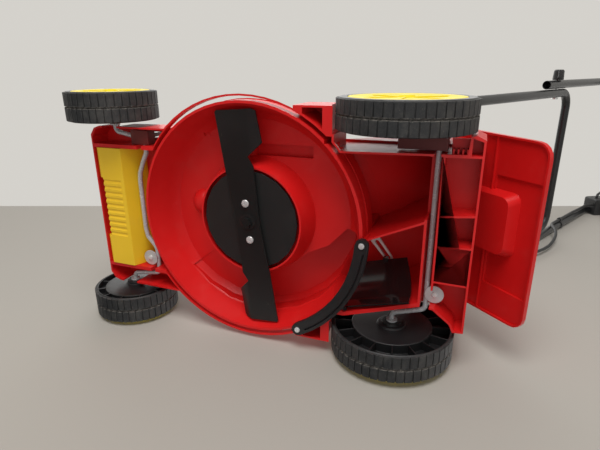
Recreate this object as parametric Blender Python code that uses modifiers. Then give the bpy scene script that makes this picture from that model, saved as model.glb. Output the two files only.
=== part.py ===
# Electric lawn mower with a rear outlet, standing on its wheels.
# Metres. +X is the mower's left, +Y its rear, +Z up, and the ground is z = 0.
# Sizes below are measured from the blade's axis. The last lines move the
# whole mower so that the origin lies under the middle of its length.

import bpy
import bmesh
import math
from mathutils import Matrix, Vector

# Fits and walls
GAP = 0.0003
WALL = 0.003

# Cutting set
BLADE_SPAN = 0.370
BLADE_Z = 0.067
BLADE_T = 0.003
FAN_R = 0.086
FAN_Z = 0.075
FAN_T = 0.0035
SHAFT_R = 0.008
BLADE_SCREW_REACH = 0.032

# Cutting deck: the ring clears the blade and the skirt stands round the ring
TIP_GAP = 0.0105
SKIRT_GAP = 0.0125
RIM_Z = 0.0565
RING_R = BLADE_SPAN / 2 + TIP_GAP
SKIRT_R = RING_R + SKIRT_GAP
CEILING_Z = 0.114
DECK_TOP_Z = 0.118
LIP_R = 0.0905
LIP_Z = 0.0735
MOTOR_FLOOR_Z = 0.100
MOTOR_WELL_R = 0.075
CHANNEL_START = 231
CHANNEL_END = 93
CHANNEL_RISE = 0.049

# Deck body
NOSE = 0.095
FRONT_Y = -SKIRT_R - NOSE
FRONT_HALF = 0.150
INNER_HALF = FRONT_HALF - 0.038
REAR_Y = 0.357
REAR_RIM_Z = 0.083
SIDE_X = 0.130
HOOD_Y = 0.285
HOOD_Z = 0.256
HOOD_START_Y = 0.100
OUTLET_FLOOR_Z = 0.124

UPPER_LEFT_X = 0.134
UPPER_RIGHT_X = -0.137
WING_X = 0.193
POCKET_X = FRONT_HALF - 0.0315
LUG_X = 0.1185

# Screws, pins and washers
SCREW_R = 0.0018
SCREW_DEPTH = 0.013
BOLT_R = 0.0040
PIN_R = 0.0025
WASHER_R = 0.0145
REAR_WASHER = (-0.093, 0.3085)
FRONT_WASHER = (-0.0965, -SKIRT_R - 0.0042)
WING_BEND = math.radians(27)
MOTOR_R = 0.060
GROOVE_PITCH = 0.0112

# Axles and wheels
FRONT_R = 0.077
FRONT_W = 0.050
FRONT_HUB_W = 0.056
COLLAR_W = 0.0035
FRONT_FACE = FRONT_HALF + COLLAR_W + FRONT_HUB_W
FRONT_HUB = (-SKIRT_R - 0.055, FRONT_R)
FRONT_PIVOT = (-SKIRT_R + 0.008, FRONT_R - 0.002)
REAR_R = 0.100
REAR_W = 0.047
REAR_FACE = 0.2055
REAR_HUB = (0.2445, REAR_R)
REAR_PIVOT = (0.296, REAR_R)
REAR_HUB_W = 0.050
ROD_R = 0.004
ROD_BEND = 0.009
HUB_BORE = 0.0060

# Chute bar
BAR_IN = RING_R - 0.006
BAR_OUT = RING_R + 0.0155
BAR_A = math.radians(92.9)
BAR_B = math.radians(151.6)
BAR_Z = 0.0485

# Mulch flap, hinged upright at the chute's front right corner
MULCH_PIVOT = (-0.1242, 0.1744)
MULCH_TURN = math.radians(75.5)
MULCH_LENGTH = 0.110
MULCH_Z = 0.060
CRANK_PIVOT = (-0.021, 0.190)
CRANK_Z = 0.150
CRANK_T = 0.004
CRANK_R = 0.0515
CRANK_SHAFT_R = 0.005
CRANK_TOP = 0.196

# Rear flap
FLAP_PIVOT = (0.296, 0.262)
FLAP_SLOPE = math.radians(-44)
FLAP_LENGTH = 0.205
FLAP_T = 0.003
FLAP_LIP = 0.004

# Handle
TUBE_R = 0.010
TUBE_T = 0.0015
ARM_X = 0.183
ARM_PIVOT = (0.268, 0.250)
ARM_PITCH = math.radians(63.4)
ARM_LENGTH = 0.629
ARM_BEND = 0.040
UPPER_X = 0.2040
FOLD_LAP = 0.084
UPPER_FOOT = 0.065
UPPER_LEG = 0.415
UPPER_BOLT = ARM_LENGTH - FOLD_LAP
UPPER_START = UPPER_BOLT - UPPER_FOOT
UPPER_STRAIGHT = UPPER_BOLT + UPPER_LEG
GRIP_PITCH = math.radians(28)
GRIP_LENGTH = 0.120
HOOK_R = 0.0145
ARM_BOLT_R = 0.004
EAR_X = ARM_X - TUBE_R - GAP
FOLD_BOLT_R = 0.0035
KNOB_X = 0.2385
SPRING_WIRE = 0.0010
SPRING_TURNS = 6
SPRING_POINTS = 8
SPRING_PITCH = 0.0032
CABLE_R = 0.0040
GLAND = (-0.045, 0.062, 0.250)

parts = None
tools = None
root = None


# Facets round the deck's ring
SIDES = 60


# Scene helpers

def clear_scene():
    for thing in list(bpy.data.objects):
        bpy.data.objects.remove(thing, do_unlink=True)


def new_collection(name):
    made = bpy.data.collections.new(name)
    bpy.context.scene.collection.children.link(made)
    return made


def paint(name, colour, roughness, metallic=0.0):
    made = bpy.data.materials.new(name)
    made.use_nodes = True
    shader = made.node_tree.nodes["Principled BSDF"]
    shader.inputs["Base Color"].default_value = (*colour, 1.0)
    shader.inputs["Roughness"].default_value = roughness
    shader.inputs["Metallic"].default_value = metallic
    made.diffuse_color = (*colour, 1.0)
    return made


def hold(thing, carrier):
    thing.parent = carrier
    thing.matrix_parent_inverse = Matrix.Translation(-carrier.location)


def part(name, mesh, material, carrier, smooth=True):
    mesh.materials.clear()
    mesh.materials.append(material)
    if smooth:
        mesh.shade_smooth()
        mesh.set_sharp_from_angle(angle=math.radians(35))
    thing = bpy.data.objects.new(name, mesh)
    parts.objects.link(thing)
    hold(thing, carrier)
    return thing


def tool(name, mesh):
    thing = bpy.data.objects.new(name, mesh)
    tools.objects.link(thing)
    thing.hide_render = True
    thing.display_type = "WIRE"
    hold(thing, root)
    return thing


def axis_empty(name, place, carrier):
    made = bpy.data.objects.new(name, None)
    made.location = place
    parts.objects.link(made)
    made.parent = carrier
    made.matrix_parent_inverse = Matrix.Translation(-carrier.location)
    return made


def boolean(target, other, operation):
    step = target.modifiers.new(operation.title() + " " + other.name, "BOOLEAN")
    step.operation = operation
    step.solver = "EXACT"
    step.object = other
    return target


def cut(target, *others):
    for other in others:
        boolean(target, other, "DIFFERENCE")
    return target


def fuse(target, *others):
    for other in others:
        boolean(target, other, "UNION")
    return target


# Shape helpers: each returns a mesh in the mower's coordinates

def as_mesh(bm, name):
    bmesh.ops.recalc_face_normals(bm, faces=bm.faces)
    mesh = bpy.data.meshes.new(name)
    bm.to_mesh(mesh)
    bm.free()
    return mesh


def box(name, low, high):
    bm = bmesh.new()
    bmesh.ops.create_cube(bm, size=1.0)
    size = [b - a for a, b in zip(low, high)]
    middle = [(a + b) / 2 for a, b in zip(low, high)]
    bmesh.ops.scale(bm, vec=size, verts=bm.verts)
    bmesh.ops.translate(bm, vec=middle, verts=bm.verts)
    return as_mesh(bm, name)


def rod(name, start, end, radius, end_radius=None, sides=32):
    start, end = Vector(start), Vector(end)
    run = end - start
    bm = bmesh.new()
    bmesh.ops.create_cone(
        bm, cap_ends=True, segments=sides, radius1=radius,
        radius2=radius if end_radius is None else end_radius, depth=run.length)
    turn = run.to_track_quat("Z", "Y").to_matrix().to_4x4()
    bmesh.ops.transform(bm, matrix=Matrix.Translation((start + end) / 2) @ turn, verts=bm.verts)
    return as_mesh(bm, name)


def prism(name, outline, low, high, along="Z", top=None):
    """Extrude an outline. top(u, v) gives the far end where it isn't flat."""
    def place(u, v, w):
        return {"Z": (u, v, w), "X": (w, u, v), "Y": (u, w, v)}[along]
    bm = bmesh.new()
    base = bm.faces.new([bm.verts.new(place(u, v, low)) for u, v in outline])
    made = bmesh.ops.extrude_face_region(bm, geom=[base])
    for vert in [g for g in made["geom"] if isinstance(g, bmesh.types.BMVert)]:
        u, v = {"Z": (vert.co.x, vert.co.y), "X": (vert.co.y, vert.co.z),
                "Y": (vert.co.x, vert.co.z)}[along]
        vert.co = place(u, v, high if top is None else top(u, v))
    return as_mesh(bm, name)


def arc(radius, start, end, steps, centre=(0.0, 0.0)):
    made = []
    for i in range(steps + 1):
        angle = start + (end - start) * i / steps
        made.append((centre[0] + radius * math.cos(angle), centre[1] + radius * math.sin(angle)))
    return made


def rounded(half_u, half_v, radius, steps=4, centre=(0.0, 0.0)):
    """Outline of a rectangle with round corners."""
    corners = []
    for i, (su, sv) in enumerate(((1, 1), (-1, 1), (-1, -1), (1, -1))):
        middle = (centre[0] + su * (half_u - radius), centre[1] + sv * (half_v - radius))
        start = i * math.pi / 2
        corners += arc(radius, start, start + math.pi / 2, steps, middle)
    return corners


def loft(name, rings, closed=False):
    """Skin a row of sections that have the same number of points."""
    bm = bmesh.new()
    rows = [[bm.verts.new(p) for p in ring] for ring in rings]
    count = len(rows[0])
    pairs = list(zip(rows, rows[1:])) + ([(rows[-1], rows[0])] if closed else [])
    for a, b in pairs:
        for i in range(count):
            j = (i + 1) % count
            bm.faces.new((a[i], a[j], b[j], b[i]))
    if not closed:
        bm.faces.new(rows[0])
        bm.faces.new(rows[-1])
    return as_mesh(bm, name)


def profile_mesh(name, profile, ring):
    """A profile in X and Z, top to bottom down the outer side."""
    bm = bmesh.new()
    verts = [bm.verts.new((r, 0.0, z)) for r, z in profile]
    pairs = list(zip(verts, verts[1:])) + ([(verts[-1], verts[0])] if ring else [])
    for a, b in pairs:
        bm.edges.new((a, b))
    mesh = bpy.data.meshes.new(name)
    bm.to_mesh(mesh)
    bm.free()
    return mesh


def spin(thing, sides):
    step = thing.modifiers.new("Turn", "SCREW")
    step.steps = step.render_steps = sides
    step.use_merge_vertices = True
    step.merge_threshold = 0.00001
    return thing


def turned_tool(name, profile, sides=64, ring=False):
    return spin(tool(name, profile_mesh(name, profile, ring)), sides)


def turned_part(name, profile, material, carrier, sides=48, ring=False, place=None, turn=None):
    thing = part(name, profile_mesh(name, profile, ring), material, carrier)
    if place is not None:
        thing.location = place
    if turn is not None:
        thing.rotation_euler = turn
    return spin(thing, sides)


def tube_mesh(name, points, radius, resolution=3, closed=False):
    curve = bpy.data.curves.new(name, "CURVE")
    curve.dimensions = "3D"
    curve.bevel_depth = radius
    curve.bevel_resolution = resolution
    curve.use_fill_caps = True
    line = curve.splines.new("POLY")
    line.points.add(len(points) - 1)
    line.use_cyclic_u = closed
    for vert, point in zip(line.points, points):
        vert.co = (*point, 1.0)
    holder = bpy.data.objects.new(name + " path", curve)
    bpy.context.scene.collection.objects.link(holder)
    bpy.context.view_layer.update()
    evaluated = holder.evaluated_get(bpy.context.evaluated_depsgraph_get())
    mesh = bpy.data.meshes.new_from_object(evaluated)
    bpy.data.objects.remove(holder)
    bpy.data.curves.remove(curve)
    bm = bmesh.new()
    bm.from_mesh(mesh)
    bmesh.ops.remove_doubles(bm, verts=bm.verts, dist=0.00001)
    bmesh.ops.recalc_face_normals(bm, faces=bm.faces)
    bm.to_mesh(mesh)
    bm.free()
    mesh.name = name
    return mesh


def bend(points, radius, steps=5):
    """Round each inner corner of a polyline."""
    points = [Vector(p) for p in points]
    made = [points[0]]
    for before, corner, after in zip(points, points[1:], points[2:]):
        a, b = (before - corner).normalized(), (after - corner).normalized()
        half = a.angle(b) / 2
        back = min(radius / math.tan(half), (before - corner).length * 0.49,
                   (after - corner).length * 0.49)
        reach = back * math.tan(half)
        centre = corner + (a + b).normalized() * (reach / math.sin(half))
        start, end = corner + a * back - centre, corner + b * back - centre
        count = max(1, round(steps * (math.pi - 2 * half) / (math.pi / 2) + 0.25))
        for i in range(count + 1):
            made.append(centre + start.normalized().slerp(end.normalized(), i / count) * reach)
    return made + [points[-1]]


def smooth_path(points, spacing):
    """Points at an even spacing on a Catmull-Rom curve through a cord's own points."""
    points = [Vector(p) for p in points]
    padded = [points[0] * 2 - points[1]] + points + [points[-1] * 2 - points[-2]]
    fine = []
    for a, b, c, d in zip(padded, padded[1:], padded[2:], padded[3:]):
        for i in range(20):
            t = i / 20
            fine.append(0.5 * (2 * b + (c - a) * t + (2 * a - 5 * b + 4 * c - d) * t * t
                               + (3 * b - a - 3 * c + d) * t ** 3))
    fine.append(points[-1])
    length = sum((b - a).length for a, b in zip(fine, fine[1:]))
    count = max(2, round(length / spacing))
    made, walked, target = [fine[0]], 0.0, length / count
    for a, b in zip(fine, fine[1:]):
        step = (b - a).length
        while walked + step >= target - 1e-9 and len(made) < count:
            made.append(a.lerp(b, (target - walked) / step))
            target += length / count
        walked += step
    return made + [fine[-1]]


def slope_top(y):
    return DECK_TOP_Z + (HOOD_Z - DECK_TOP_Z) / (HOOD_Y - HOOD_START_Y) * (y - HOOD_START_Y)


def under_slope(x, y):
    return slope_top(y) - 0.004


def front_top(x, y):
    return DECK_TOP_Z - 0.001 + 0.09 * (y + 0.090)


def front_ceiling(x, y):
    return front_top(x, y) - 0.004


# Deck

def channel_sections(grow, low):
    """Sections of the rising grass channel, or of its outer shell when grow > 0."""
    rings = []
    corner, mouth = Vector((-0.064, 0.084)), Vector((-0.012, 0.190))
    count = 9
    more = 450 * grow
    for i in range(count + 1):
        degrees = CHANNEL_START + more + (CHANNEL_END - CHANNEL_START - 2 * more) * i / count
        ray = Vector((math.cos(math.radians(degrees)), math.sin(math.radians(degrees))))
        inner = corner.length
        if degrees < math.degrees(math.atan2(corner.y, corner.x)):
            side = mouth - corner
            inner = (corner.x * side.y - corner.y * side.x) / (ray.x * side.y - ray.y * side.x)
        inner = min(inner, RING_R - 0.0355) - grow
        outer = RING_R - 0.0165 + grow
        top = CEILING_Z + 0.001 + CHANNEL_RISE * i / count + grow
        rings.append([(*(ray * inner), low), (*(ray * inner), top),
                      (*(ray * (outer - 0.010)), top), (*(ray * outer), top - 0.010),
                      (*(ray * outer), low)])
    return rings


def rear_outline():
    """Plan of the lower rear body, wider at the skirt than beside the wheels."""
    return [(SIDE_X, 0.085), (SIDE_X, 0.335), (0.155, 0.337), (0.156, 0.345), (0.150, REAR_Y),
            (-0.147, REAR_Y), (-0.147, 0.341), (-0.134, 0.335), (-0.1115, 0.309),
            (-0.108, 0.288), (-0.1375, 0.172), (-0.1375, 0.085)]


def flap_matrix():
    """From the flap's own frame: X across, Y down the slope, Z out of the mower."""
    return Matrix.Translation((0.0, *FLAP_PIVOT)) @ Matrix.Rotation(FLAP_SLOPE, 4, "X")


def flap_point(down, out):
    """Side view (y, z) of a point on the flap."""
    point = flap_matrix() @ Vector((0.0, down, out))
    return (point.y, point.z)


def flap_line(y, out):
    """Height at y of the line that lies out from the flap's middle plane."""
    start = flap_point(0.0, out)
    return start[1] + (y - start[0]) * math.tan(FLAP_SLOPE)


def deck_outside(deck):
    """Fuse the outer shapes of the housing before it is hollowed."""
    seat = -FLAP_T / 2 - 0.0005
    shell = tool("channel_shell", loft("channel_shell", channel_sections(0.004, 0.105)))
    front = tool("front_body", prism("front_body", [
        (FRONT_HALF, -0.090), (-FRONT_HALF, -0.090), (-FRONT_HALF, FRONT_Y + 0.021),
        (-FRONT_HALF + 0.004, FRONT_Y + 0.009), (-FRONT_HALF + 0.016, FRONT_Y),
        (FRONT_HALF - 0.016, FRONT_Y), (FRONT_HALF - 0.004, FRONT_Y + 0.009),
        (FRONT_HALF, FRONT_Y + 0.021)], 0.0442, 0.0, top=front_top))
    lower = tool("rear_lower", prism("rear_lower", rear_outline(), 0.0434, 0.152))
    sky = tool("above_the_slope", prism("above_the_slope", [
        (0.080, slope_top(0.080)), (0.420, slope_top(0.420)), (0.420, 0.5), (0.080, 0.5)],
        -0.2, 0.2, along="X"))
    cut(lower, sky)
    upper = tool("rear_upper", prism("rear_upper", [
        (0.1429, 0.150), (REAR_Y, 0.150), (REAR_Y, flap_line(REAR_Y, seat)),
        (0.304, flap_line(0.304, seat)), (0.297, HOOD_Z - 0.003), (HOOD_Y, HOOD_Z)],
        UPPER_RIGHT_X, UPPER_LEFT_X, along="X"))
    wings = []
    ears = []
    for side, word in ((1, "left"), (-1, "right")):
        inner, outer = sorted((side * 0.120, side * WING_X))
        wing = tool(word + "_wing", box(word + "_wing", (inner, 0.088, 0.0426), (outer, 0.151, 0.125)))
        arch = tool(word + "_arch", rod(word + "_arch", (side * 0.153, *REAR_HUB),
                                        (side * 0.22, *REAR_HUB), REAR_R + 0.006, sides=24))
        wings.append(cut(wing, arch))
        inner, outer = sorted((side * 0.120, side * EAR_X))
        ear = tool(word + "_ear", box(word + "_ear", (inner, 0.248, 0.229), (outer, 0.289, 0.266)))
        inner, outer = sorted((side * 0.139, side * (EAR_X - WALL)))
        hollow = tool(word + "_ear_hollow", box(word + "_ear_hollow", (inner, 0.2515, 0.20),
                                                (outer, 0.2855, 0.262)))
        ears.append(cut(ear, hollow))
    cover = tool("recess_cover", box("recess_cover", (0.101, -0.009, 0.110), (0.129, 0.104, 0.132)))
    fuse(deck, shell, front, lower, upper, cover, *wings, *ears)
    for side, word in ((1, "left"), (-1, "right")):
        cut(deck, tool(word + "_wheel_space", rod(word + "_wheel_space", (side * 0.1565, *REAR_HUB),
                                                  (side * 0.24, *REAR_HUB), REAR_R + 0.002, sides=28)))
    return cut(deck, tool("below_the_rim", prism("below_the_rim", [
        (-0.35, 0.0), (0.42, 0.0), (0.42, REAR_RIM_Z + 0.0095), (0.175, RIM_Z), (-0.35, RIM_Z)],
        -0.25, 0.25, along="X")))


def chamber_tools():
    """The cutting chamber, the motor wells and the ring's outer groove."""
    made = [turned_tool("chamber", [
        (0.0, 0.097), (LIP_R + 0.004, 0.097), (LIP_R, LIP_Z), (LIP_R + WALL, LIP_Z),
        (0.105, CEILING_Z), (RING_R - 0.0295, CEILING_Z), (RING_R - 0.0145, 0.098),
        (RING_R, RIM_Z - 0.004), (RING_R, 0.030), (0.0, 0.030)], SIDES)]
    made.append(turned_tool("motor_well", [
        (0.0, 0.140), (MOTOR_WELL_R, 0.140), (MOTOR_WELL_R, MOTOR_FLOOR_Z + 0.003),
        (0.0163, MOTOR_FLOOR_Z + 0.003), (0.0163, 0.090), (0.0, 0.090)], 24))
    made.append(turned_tool("ring_groove", [
        (SKIRT_R - WALL, 0.0895), (SKIRT_R - WALL, 0.040), (RING_R + WALL, 0.040),
        (RING_R + WALL, 0.0895)], SIDES, ring=True))
    made.append(tool("channel", loft("channel", channel_sections(0.0, 0.090))))
    for name, low, high in (
            ("slot_a", (0.133, -0.101, 0.100), (0.139, -0.095, 0.1148)),
            ("slot_b", (0.132, -0.091, 0.100), (0.138, -0.083, 0.1148)),
            ("ceiling_recess", (0.105, -0.005, 0.110), (0.125, 0.100, 0.128))):
        made.append(tool(name, box(name, low, high)))
    made.append(tool("boss_hole", rod("boss_hole", (0.006, -0.168, 0.100), (0.006, -0.168, 0.1085),
                                      0.0035, sides=12)))
    return made


def outside_ring(thing, radius=RING_R + WALL + 0.001):
    """Keep the ring wall: take its cylinder out of a cutter."""
    keep = tool(thing.name + "_keep", rod(thing.name + "_keep", (0, 0, 0.01), (0, 0, 0.30),
                                          radius, sides=SIDES))
    return cut(thing, keep)


def front_tools():
    made = []
    middle = tool("front_hollow", prism("front_hollow", [
        (INNER_HALF, -0.060), (-INNER_HALF, -0.060), (-INNER_HALF, FRONT_Y + WALL),
        (INNER_HALF, FRONT_Y + WALL)], 0.030, 0.0, top=front_ceiling))
    made.append(tool("grip_window", box("grip_window", (-0.056, FRONT_Y + 0.012, 0.088),
                                        (0.056, FRONT_Y + 0.058, 0.130))))
    made.append(outside_ring(middle))
    for side, word in ((1, "left"), (-1, "right")):
        outline = [(side * POCKET_X, -0.100), (side * POCKET_X, FRONT_Y + WALL),
                   (side * (FRONT_HALF - 0.019), FRONT_Y + WALL),
                   (side * (FRONT_HALF - 0.0065), FRONT_Y + 0.0125),
                   (side * (FRONT_HALF - WALL), FRONT_Y + 0.022), (side * (FRONT_HALF - WALL), -0.100)]
        pocket = tool(word + "_pocket", prism(word + "_pocket", outline, 0.030, 0.0,
                                              top=front_ceiling))
        made.append(outside_ring(pocket, SKIRT_R - 0.001))
        for name, y, z, half, inner, outer in (
                ("rod_slot", FRONT_PIVOT[0], FRONT_PIVOT[1], ROD_R + 2 * GAP,
                 INNER_HALF - 0.004, POCKET_X + 0.0035),
                ("stub_slot", FRONT_HUB[0] + 0.004, 0.108, 0.016, FRONT_HALF - 0.006, FRONT_HALF + 0.006)):
            label = word + "_front_" + name
            a, b = sorted((side * inner, side * outer))
            made.append(tool(label, prism(label, [(y - half, 0.03), (y + half, 0.03)]
                                          + arc(half, 0.0, math.pi, 6, (y, z)), a, b, along="X")))
    made.append(tool("lever_window", box("lever_window", (FRONT_HALF - 0.023, FRONT_PIVOT[0] - 0.050, 0.095),
                                         (FRONT_HALF - 0.0125, FRONT_PIVOT[0] + 0.050, 0.125))))
    return made


def rear_tools():
    made = []
    chute = [(-0.0116, 0.1896), (0.027, 0.286), (-0.1015, 0.286), (-0.131, 0.172),
             (-0.114, 0.152), (-0.101, 0.134), (-0.060, 0.158), (-0.0105, 0.172)]
    made.append(tool("chute", prism("chute", chute, 0.030, 0.0, top=under_slope)))
    low = [(0.027, 0.2846), (0.1214, 0.3006), (0.1214, 0.410), (-0.1254, 0.410), (-0.1254, 0.330),
           (-0.108, 0.3085), (-0.1022, 0.2846)]
    made.append(tool("outlet_floor", prism("outlet_floor", low, OUTLET_FLOOR_Z, 0.1545)))
    high = [(0.027, 0.284), (0.122, 0.300), (0.122, 0.400), (-0.126, 0.400), (-0.126, 0.300),
            (-0.1015, 0.284)]
    outlet = tool("outlet", prism("outlet", high, 0.1535, 0.30))
    made.append(cut(outlet, tool("outlet_roof", prism("outlet_roof", [
        (0.20, slope_top(0.20) - 0.0046), (HOOD_Y, HOOD_Z - 0.0046), (0.2955, HOOD_Z - 0.0068),
        (0.2955, 0.40), (0.20, 0.40)], -0.2, 0.2, along="X"))))
    made.append(tool("hood_hollow", prism("hood_hollow", [
        (0.126, 0.115), (0.126, 0.215), (0.001, 0.215), (0.004, 0.150), (0.020, 0.115)],
        0.1215, 0.0, top=lambda x, y: under_slope(x, y) - 0.0007)))
    left = tool("left_hollow", prism("left_hollow", [
        (0.127, 0.100), (0.127, 0.286), (0.031, 0.286), (-0.0065, 0.196), (0.0, 0.150),
        (0.060, 0.100)], 0.030, 0.0, top=under_slope))
    made.append(outside_ring(left))
    made.append(tool("right_hollow", prism("right_hollow", [
        (-0.1335, 0.192), (-0.1090, 0.282), (-0.1335, 0.282)], 0.140, 0.0, top=under_slope)))
    made.append(tool("wall_gap", box("wall_gap", (0.034, 0.280, 0.03), (0.1265, 0.294, 0.1125))))
    made.append(tool("axle_channel", box("axle_channel", (-0.150, 0.2895, 0.03),
                                         (SIDE_X - 0.0035, 0.3035, 0.113))))
    for side, word in ((1, "left"), (-1, "right")):
        for name, near, far, reach in (("front_cell", 0.102, 0.1335, WING_X - WALL),
                                       ("rear_cell", 0.1365, 0.148, 0.150)):
            label = word + "_" + name
            a, b = sorted((side * 0.1385, side * reach))
            cell = tool(label, box(label, (a, near, 0.03), (b, far, 0.121)))
            made.append(outside_ring(cell, SKIRT_R) if name == "front_cell" else cell)
    half = ROD_R + 2 * GAP
    made.append(tool("left_rear_rod_slot", prism("left_rear_rod_slot", [
        (REAR_PIVOT[0] - half, 0.03), (REAR_PIVOT[0] + half, 0.03)]
        + arc(half, 0.0, math.pi, 6, REAR_PIVOT), 0.120, 0.136, along="X")))
    cells = {
        "cell_a": [(0.1255, 0.3065), (0.1255, 0.354), (0.044, 0.354), (0.041, 0.3065)],
        "cell_b": [(0.038, 0.3065), (0.041, 0.354), (-0.0055, 0.354), (-0.0055, 0.3065)],
        "cell_c": [(-0.0085, 0.3065), (-0.0085, 0.354), (-0.066, 0.354), (-0.062, 0.3065)],
        "cell_d": [(-0.065, 0.3065), (-0.069, 0.354), (-0.144, 0.354), (-0.144, 0.3435),
                   (-0.1315, 0.3375), (-0.1085, 0.3115), (-0.1075, 0.3065)]}
    for name, outline in cells.items():
        made.append(tool(name, prism(name, outline, 0.03, 0.120)))
    made.append(tool("side_pocket", prism("side_pocket", [
        (0.1285, 0.340), (0.1525, 0.340), (0.1475, 0.354), (0.1285, 0.354)], 0.03, 0.110)))
    made.append(tool("washer_relief", rod("washer_relief", (*REAR_WASHER, 0.05),
                                          (*REAR_WASHER, REAR_PIVOT[1] - ROD_R + 0.0004),
                                          WASHER_R + 0.001, sides=20)))
    return made


def bar_point(angle):
    middle = (BAR_IN + BAR_OUT) / 2
    return (middle * math.cos(angle), middle * math.sin(angle))


def deck_additions():
    """Bosses, lugs, the rack and the crank's tower, which stand on the hollowed shell."""
    made = []
    for name, angle, top in (("bar_boss_a", BAR_A, 0.125), ("bar_boss_b", BAR_B, 0.1145)):
        made.append(tool(name, rod(name, (*bar_point(angle), RIM_Z), (*bar_point(angle), top),
                                   0.0065, sides=14)))
    for name, place, low, high in (
            ("rear_washer_boss", REAR_WASHER, REAR_PIVOT[1] - ROD_R, 0.1215),
            ("front_washer_boss", FRONT_WASHER, FRONT_PIVOT[1] - ROD_R, 0.104)):
        made.append(tool(name, rod(name, (*place, low), (*place, high), 0.0054, sides=14)))
    for i in range(4):
        y = 0.3150 + 0.0062 * i
        name = "rack_tooth_%d" % (i + 1)
        made.append(tool(name, box(name, (0.1285, y, 0.082), (0.1370, y + 0.0022, 0.098))))
    made.append(tool("rack_ledge", box("rack_ledge", (0.1285, 0.3130, 0.0965), (0.1500, 0.3380, 0.1005))))
    for side, word in ((1, "left"), (-1, "right")):
        a, b = sorted((side * LUG_X, side * (LUG_X + 0.0095)))
        made.append(tool(word + "_flap_lug", box(word + "_flap_lug", (a, 0.2905, 0.245),
                                                 (b, 0.3015, 0.2675))))
    made.append(tool("crank_boss", rod("crank_boss", (*CRANK_PIVOT, 0.176), (*CRANK_PIVOT, CRANK_TOP),
                                       0.011, sides=20)))
    return made


def deck_holes():
    made = []
    for name, angle in (("bar_hole_a", BAR_A), ("bar_hole_b", BAR_B)):
        made.append(tool(name, rod(name, (*bar_point(angle), 0.04),
                                   (*bar_point(angle), RIM_Z + SCREW_DEPTH + 0.001),
                                   SCREW_R + GAP, sides=10)))
    for name, place, low in (("rear_washer_hole", REAR_WASHER, REAR_PIVOT[1] - ROD_R),
                             ("front_washer_hole", FRONT_WASHER, FRONT_PIVOT[1] - ROD_R)):
        made.append(tool(name, rod(name, (*place, low - 0.02), (*place, low + SCREW_DEPTH + 0.001),
                                   SCREW_R + GAP, sides=10)))
    made.append(tool("flap_pin_hole", rod("flap_pin_hole", (-0.15, *FLAP_PIVOT), (0.15, *FLAP_PIVOT),
                                          PIN_R + GAP, sides=12)))
    made.append(tool("crank_hole", rod("crank_hole", (*CRANK_PIVOT, 0.140), (*CRANK_PIVOT, 0.21),
                                       CRANK_SHAFT_R + GAP, sides=16)))
    for side, word in ((1, "left"), (-1, "right")):
        name = word + "_arm_bolt_hole"
        made.append(tool(name, rod(name, (side * 0.160, *ARM_PIVOT), (side * 0.18, *ARM_PIVOT),
                                   ARM_BOLT_R + GAP, sides=12)))
    return made


def make_deck(material):
    deck = turned_part("deck", [
        (0.0, DECK_TOP_Z), (SKIRT_R - 0.048, DECK_TOP_Z), (SKIRT_R - 0.026, 0.111),
        (SKIRT_R - 0.010, 0.097), (SKIRT_R, RIM_Z), (SKIRT_R, 0.045),
        (0.0, 0.045)], material, root, SIDES)
    deck_outside(deck)
    cut(deck, *chamber_tools(), *front_tools(), *rear_tools())
    fuse(deck, *deck_additions())
    cut(deck, *deck_holes())
    return deck


# Front grip, chute bar and their screws

def make_front_grip(material):
    """A hollow block under the deck's nose, with finger grooves on its lower face."""
    front, rear = FRONT_Y + WALL + GAP, FRONT_Y + 0.081
    grip = part("front_grip", prism("front_grip", [
        (front, 0.062), (front + 0.0095, 0.054), (FRONT_Y + 0.063, 0.054), (rear, 0.094),
        (rear, front_ceiling(0, rear) - GAP), (front, front_ceiling(0, front) - GAP)],
        -INNER_HALF + GAP, INNER_HALF - GAP, along="X"), material, root)
    cutters = [tool("grip_recess", box("grip_recess", (-0.057, FRONT_Y - 0.017, 0.03),
                                       (0.057, FRONT_Y + 0.0155, 0.12))),
               tool("grip_hollow", box("grip_hollow", (-0.053, FRONT_Y + 0.0195, 0.062),
                                       (0.053, FRONT_Y + 0.0555, 0.12)))]
    for i in range(10):
        x = GROOVE_PITCH * (i - 4.5)
        name = "finger_groove_%d" % (i + 1)
        cutters.append(tool(name, rod(name, (x, FRONT_Y + 0.003, 0.0518),
                                       (x, FRONT_Y + 0.0555, 0.0518), 0.0042, sides=8)))
    return cut(grip, *cutters)


def make_chute_bar(material, metal):
    """A curved bar under the ring where the chute opens, with a groove along it."""
    def band(inner, outer, a, b, steps):
        middle, half = (inner + outer) / 2, (outer - inner) / 2
        last = (middle * math.cos(b), middle * math.sin(b))
        first = (middle * math.cos(a), middle * math.sin(a))
        return (arc(outer, a, b, steps) + arc(half, b, b + math.pi, 5, last)[1:-1]
                + arc(inner, b, a, steps) + arc(half, a + math.pi, a + 2 * math.pi, 5, first)[1:-1])
    bar = part("chute_bar", prism("chute_bar", band(BAR_IN, BAR_OUT, BAR_A, BAR_B, 9),
                                  BAR_Z, RIM_Z - GAP), material, root)
    inset = math.radians(4)
    cut(bar, tool("bar_groove", prism("bar_groove", band(
        BAR_IN + 0.0135, BAR_OUT - 0.0050, BAR_A + inset, BAR_B - inset, 9), 0.040, BAR_Z + 0.0035)))
    for word, angle in (("left", BAR_A), ("right", BAR_B)):
        place = bar_point(angle)
        cut(bar, tool("bar_screw_hole_" + word, rod("bar_screw_hole_" + word, (*place, 0.03),
                                                    (*place, 0.07), SCREW_R + GAP, sides=10)))
        screw("chute_bar_screw_" + word, place, BAR_Z, RIM_Z + SCREW_DEPTH, metal)
    return bar


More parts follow.
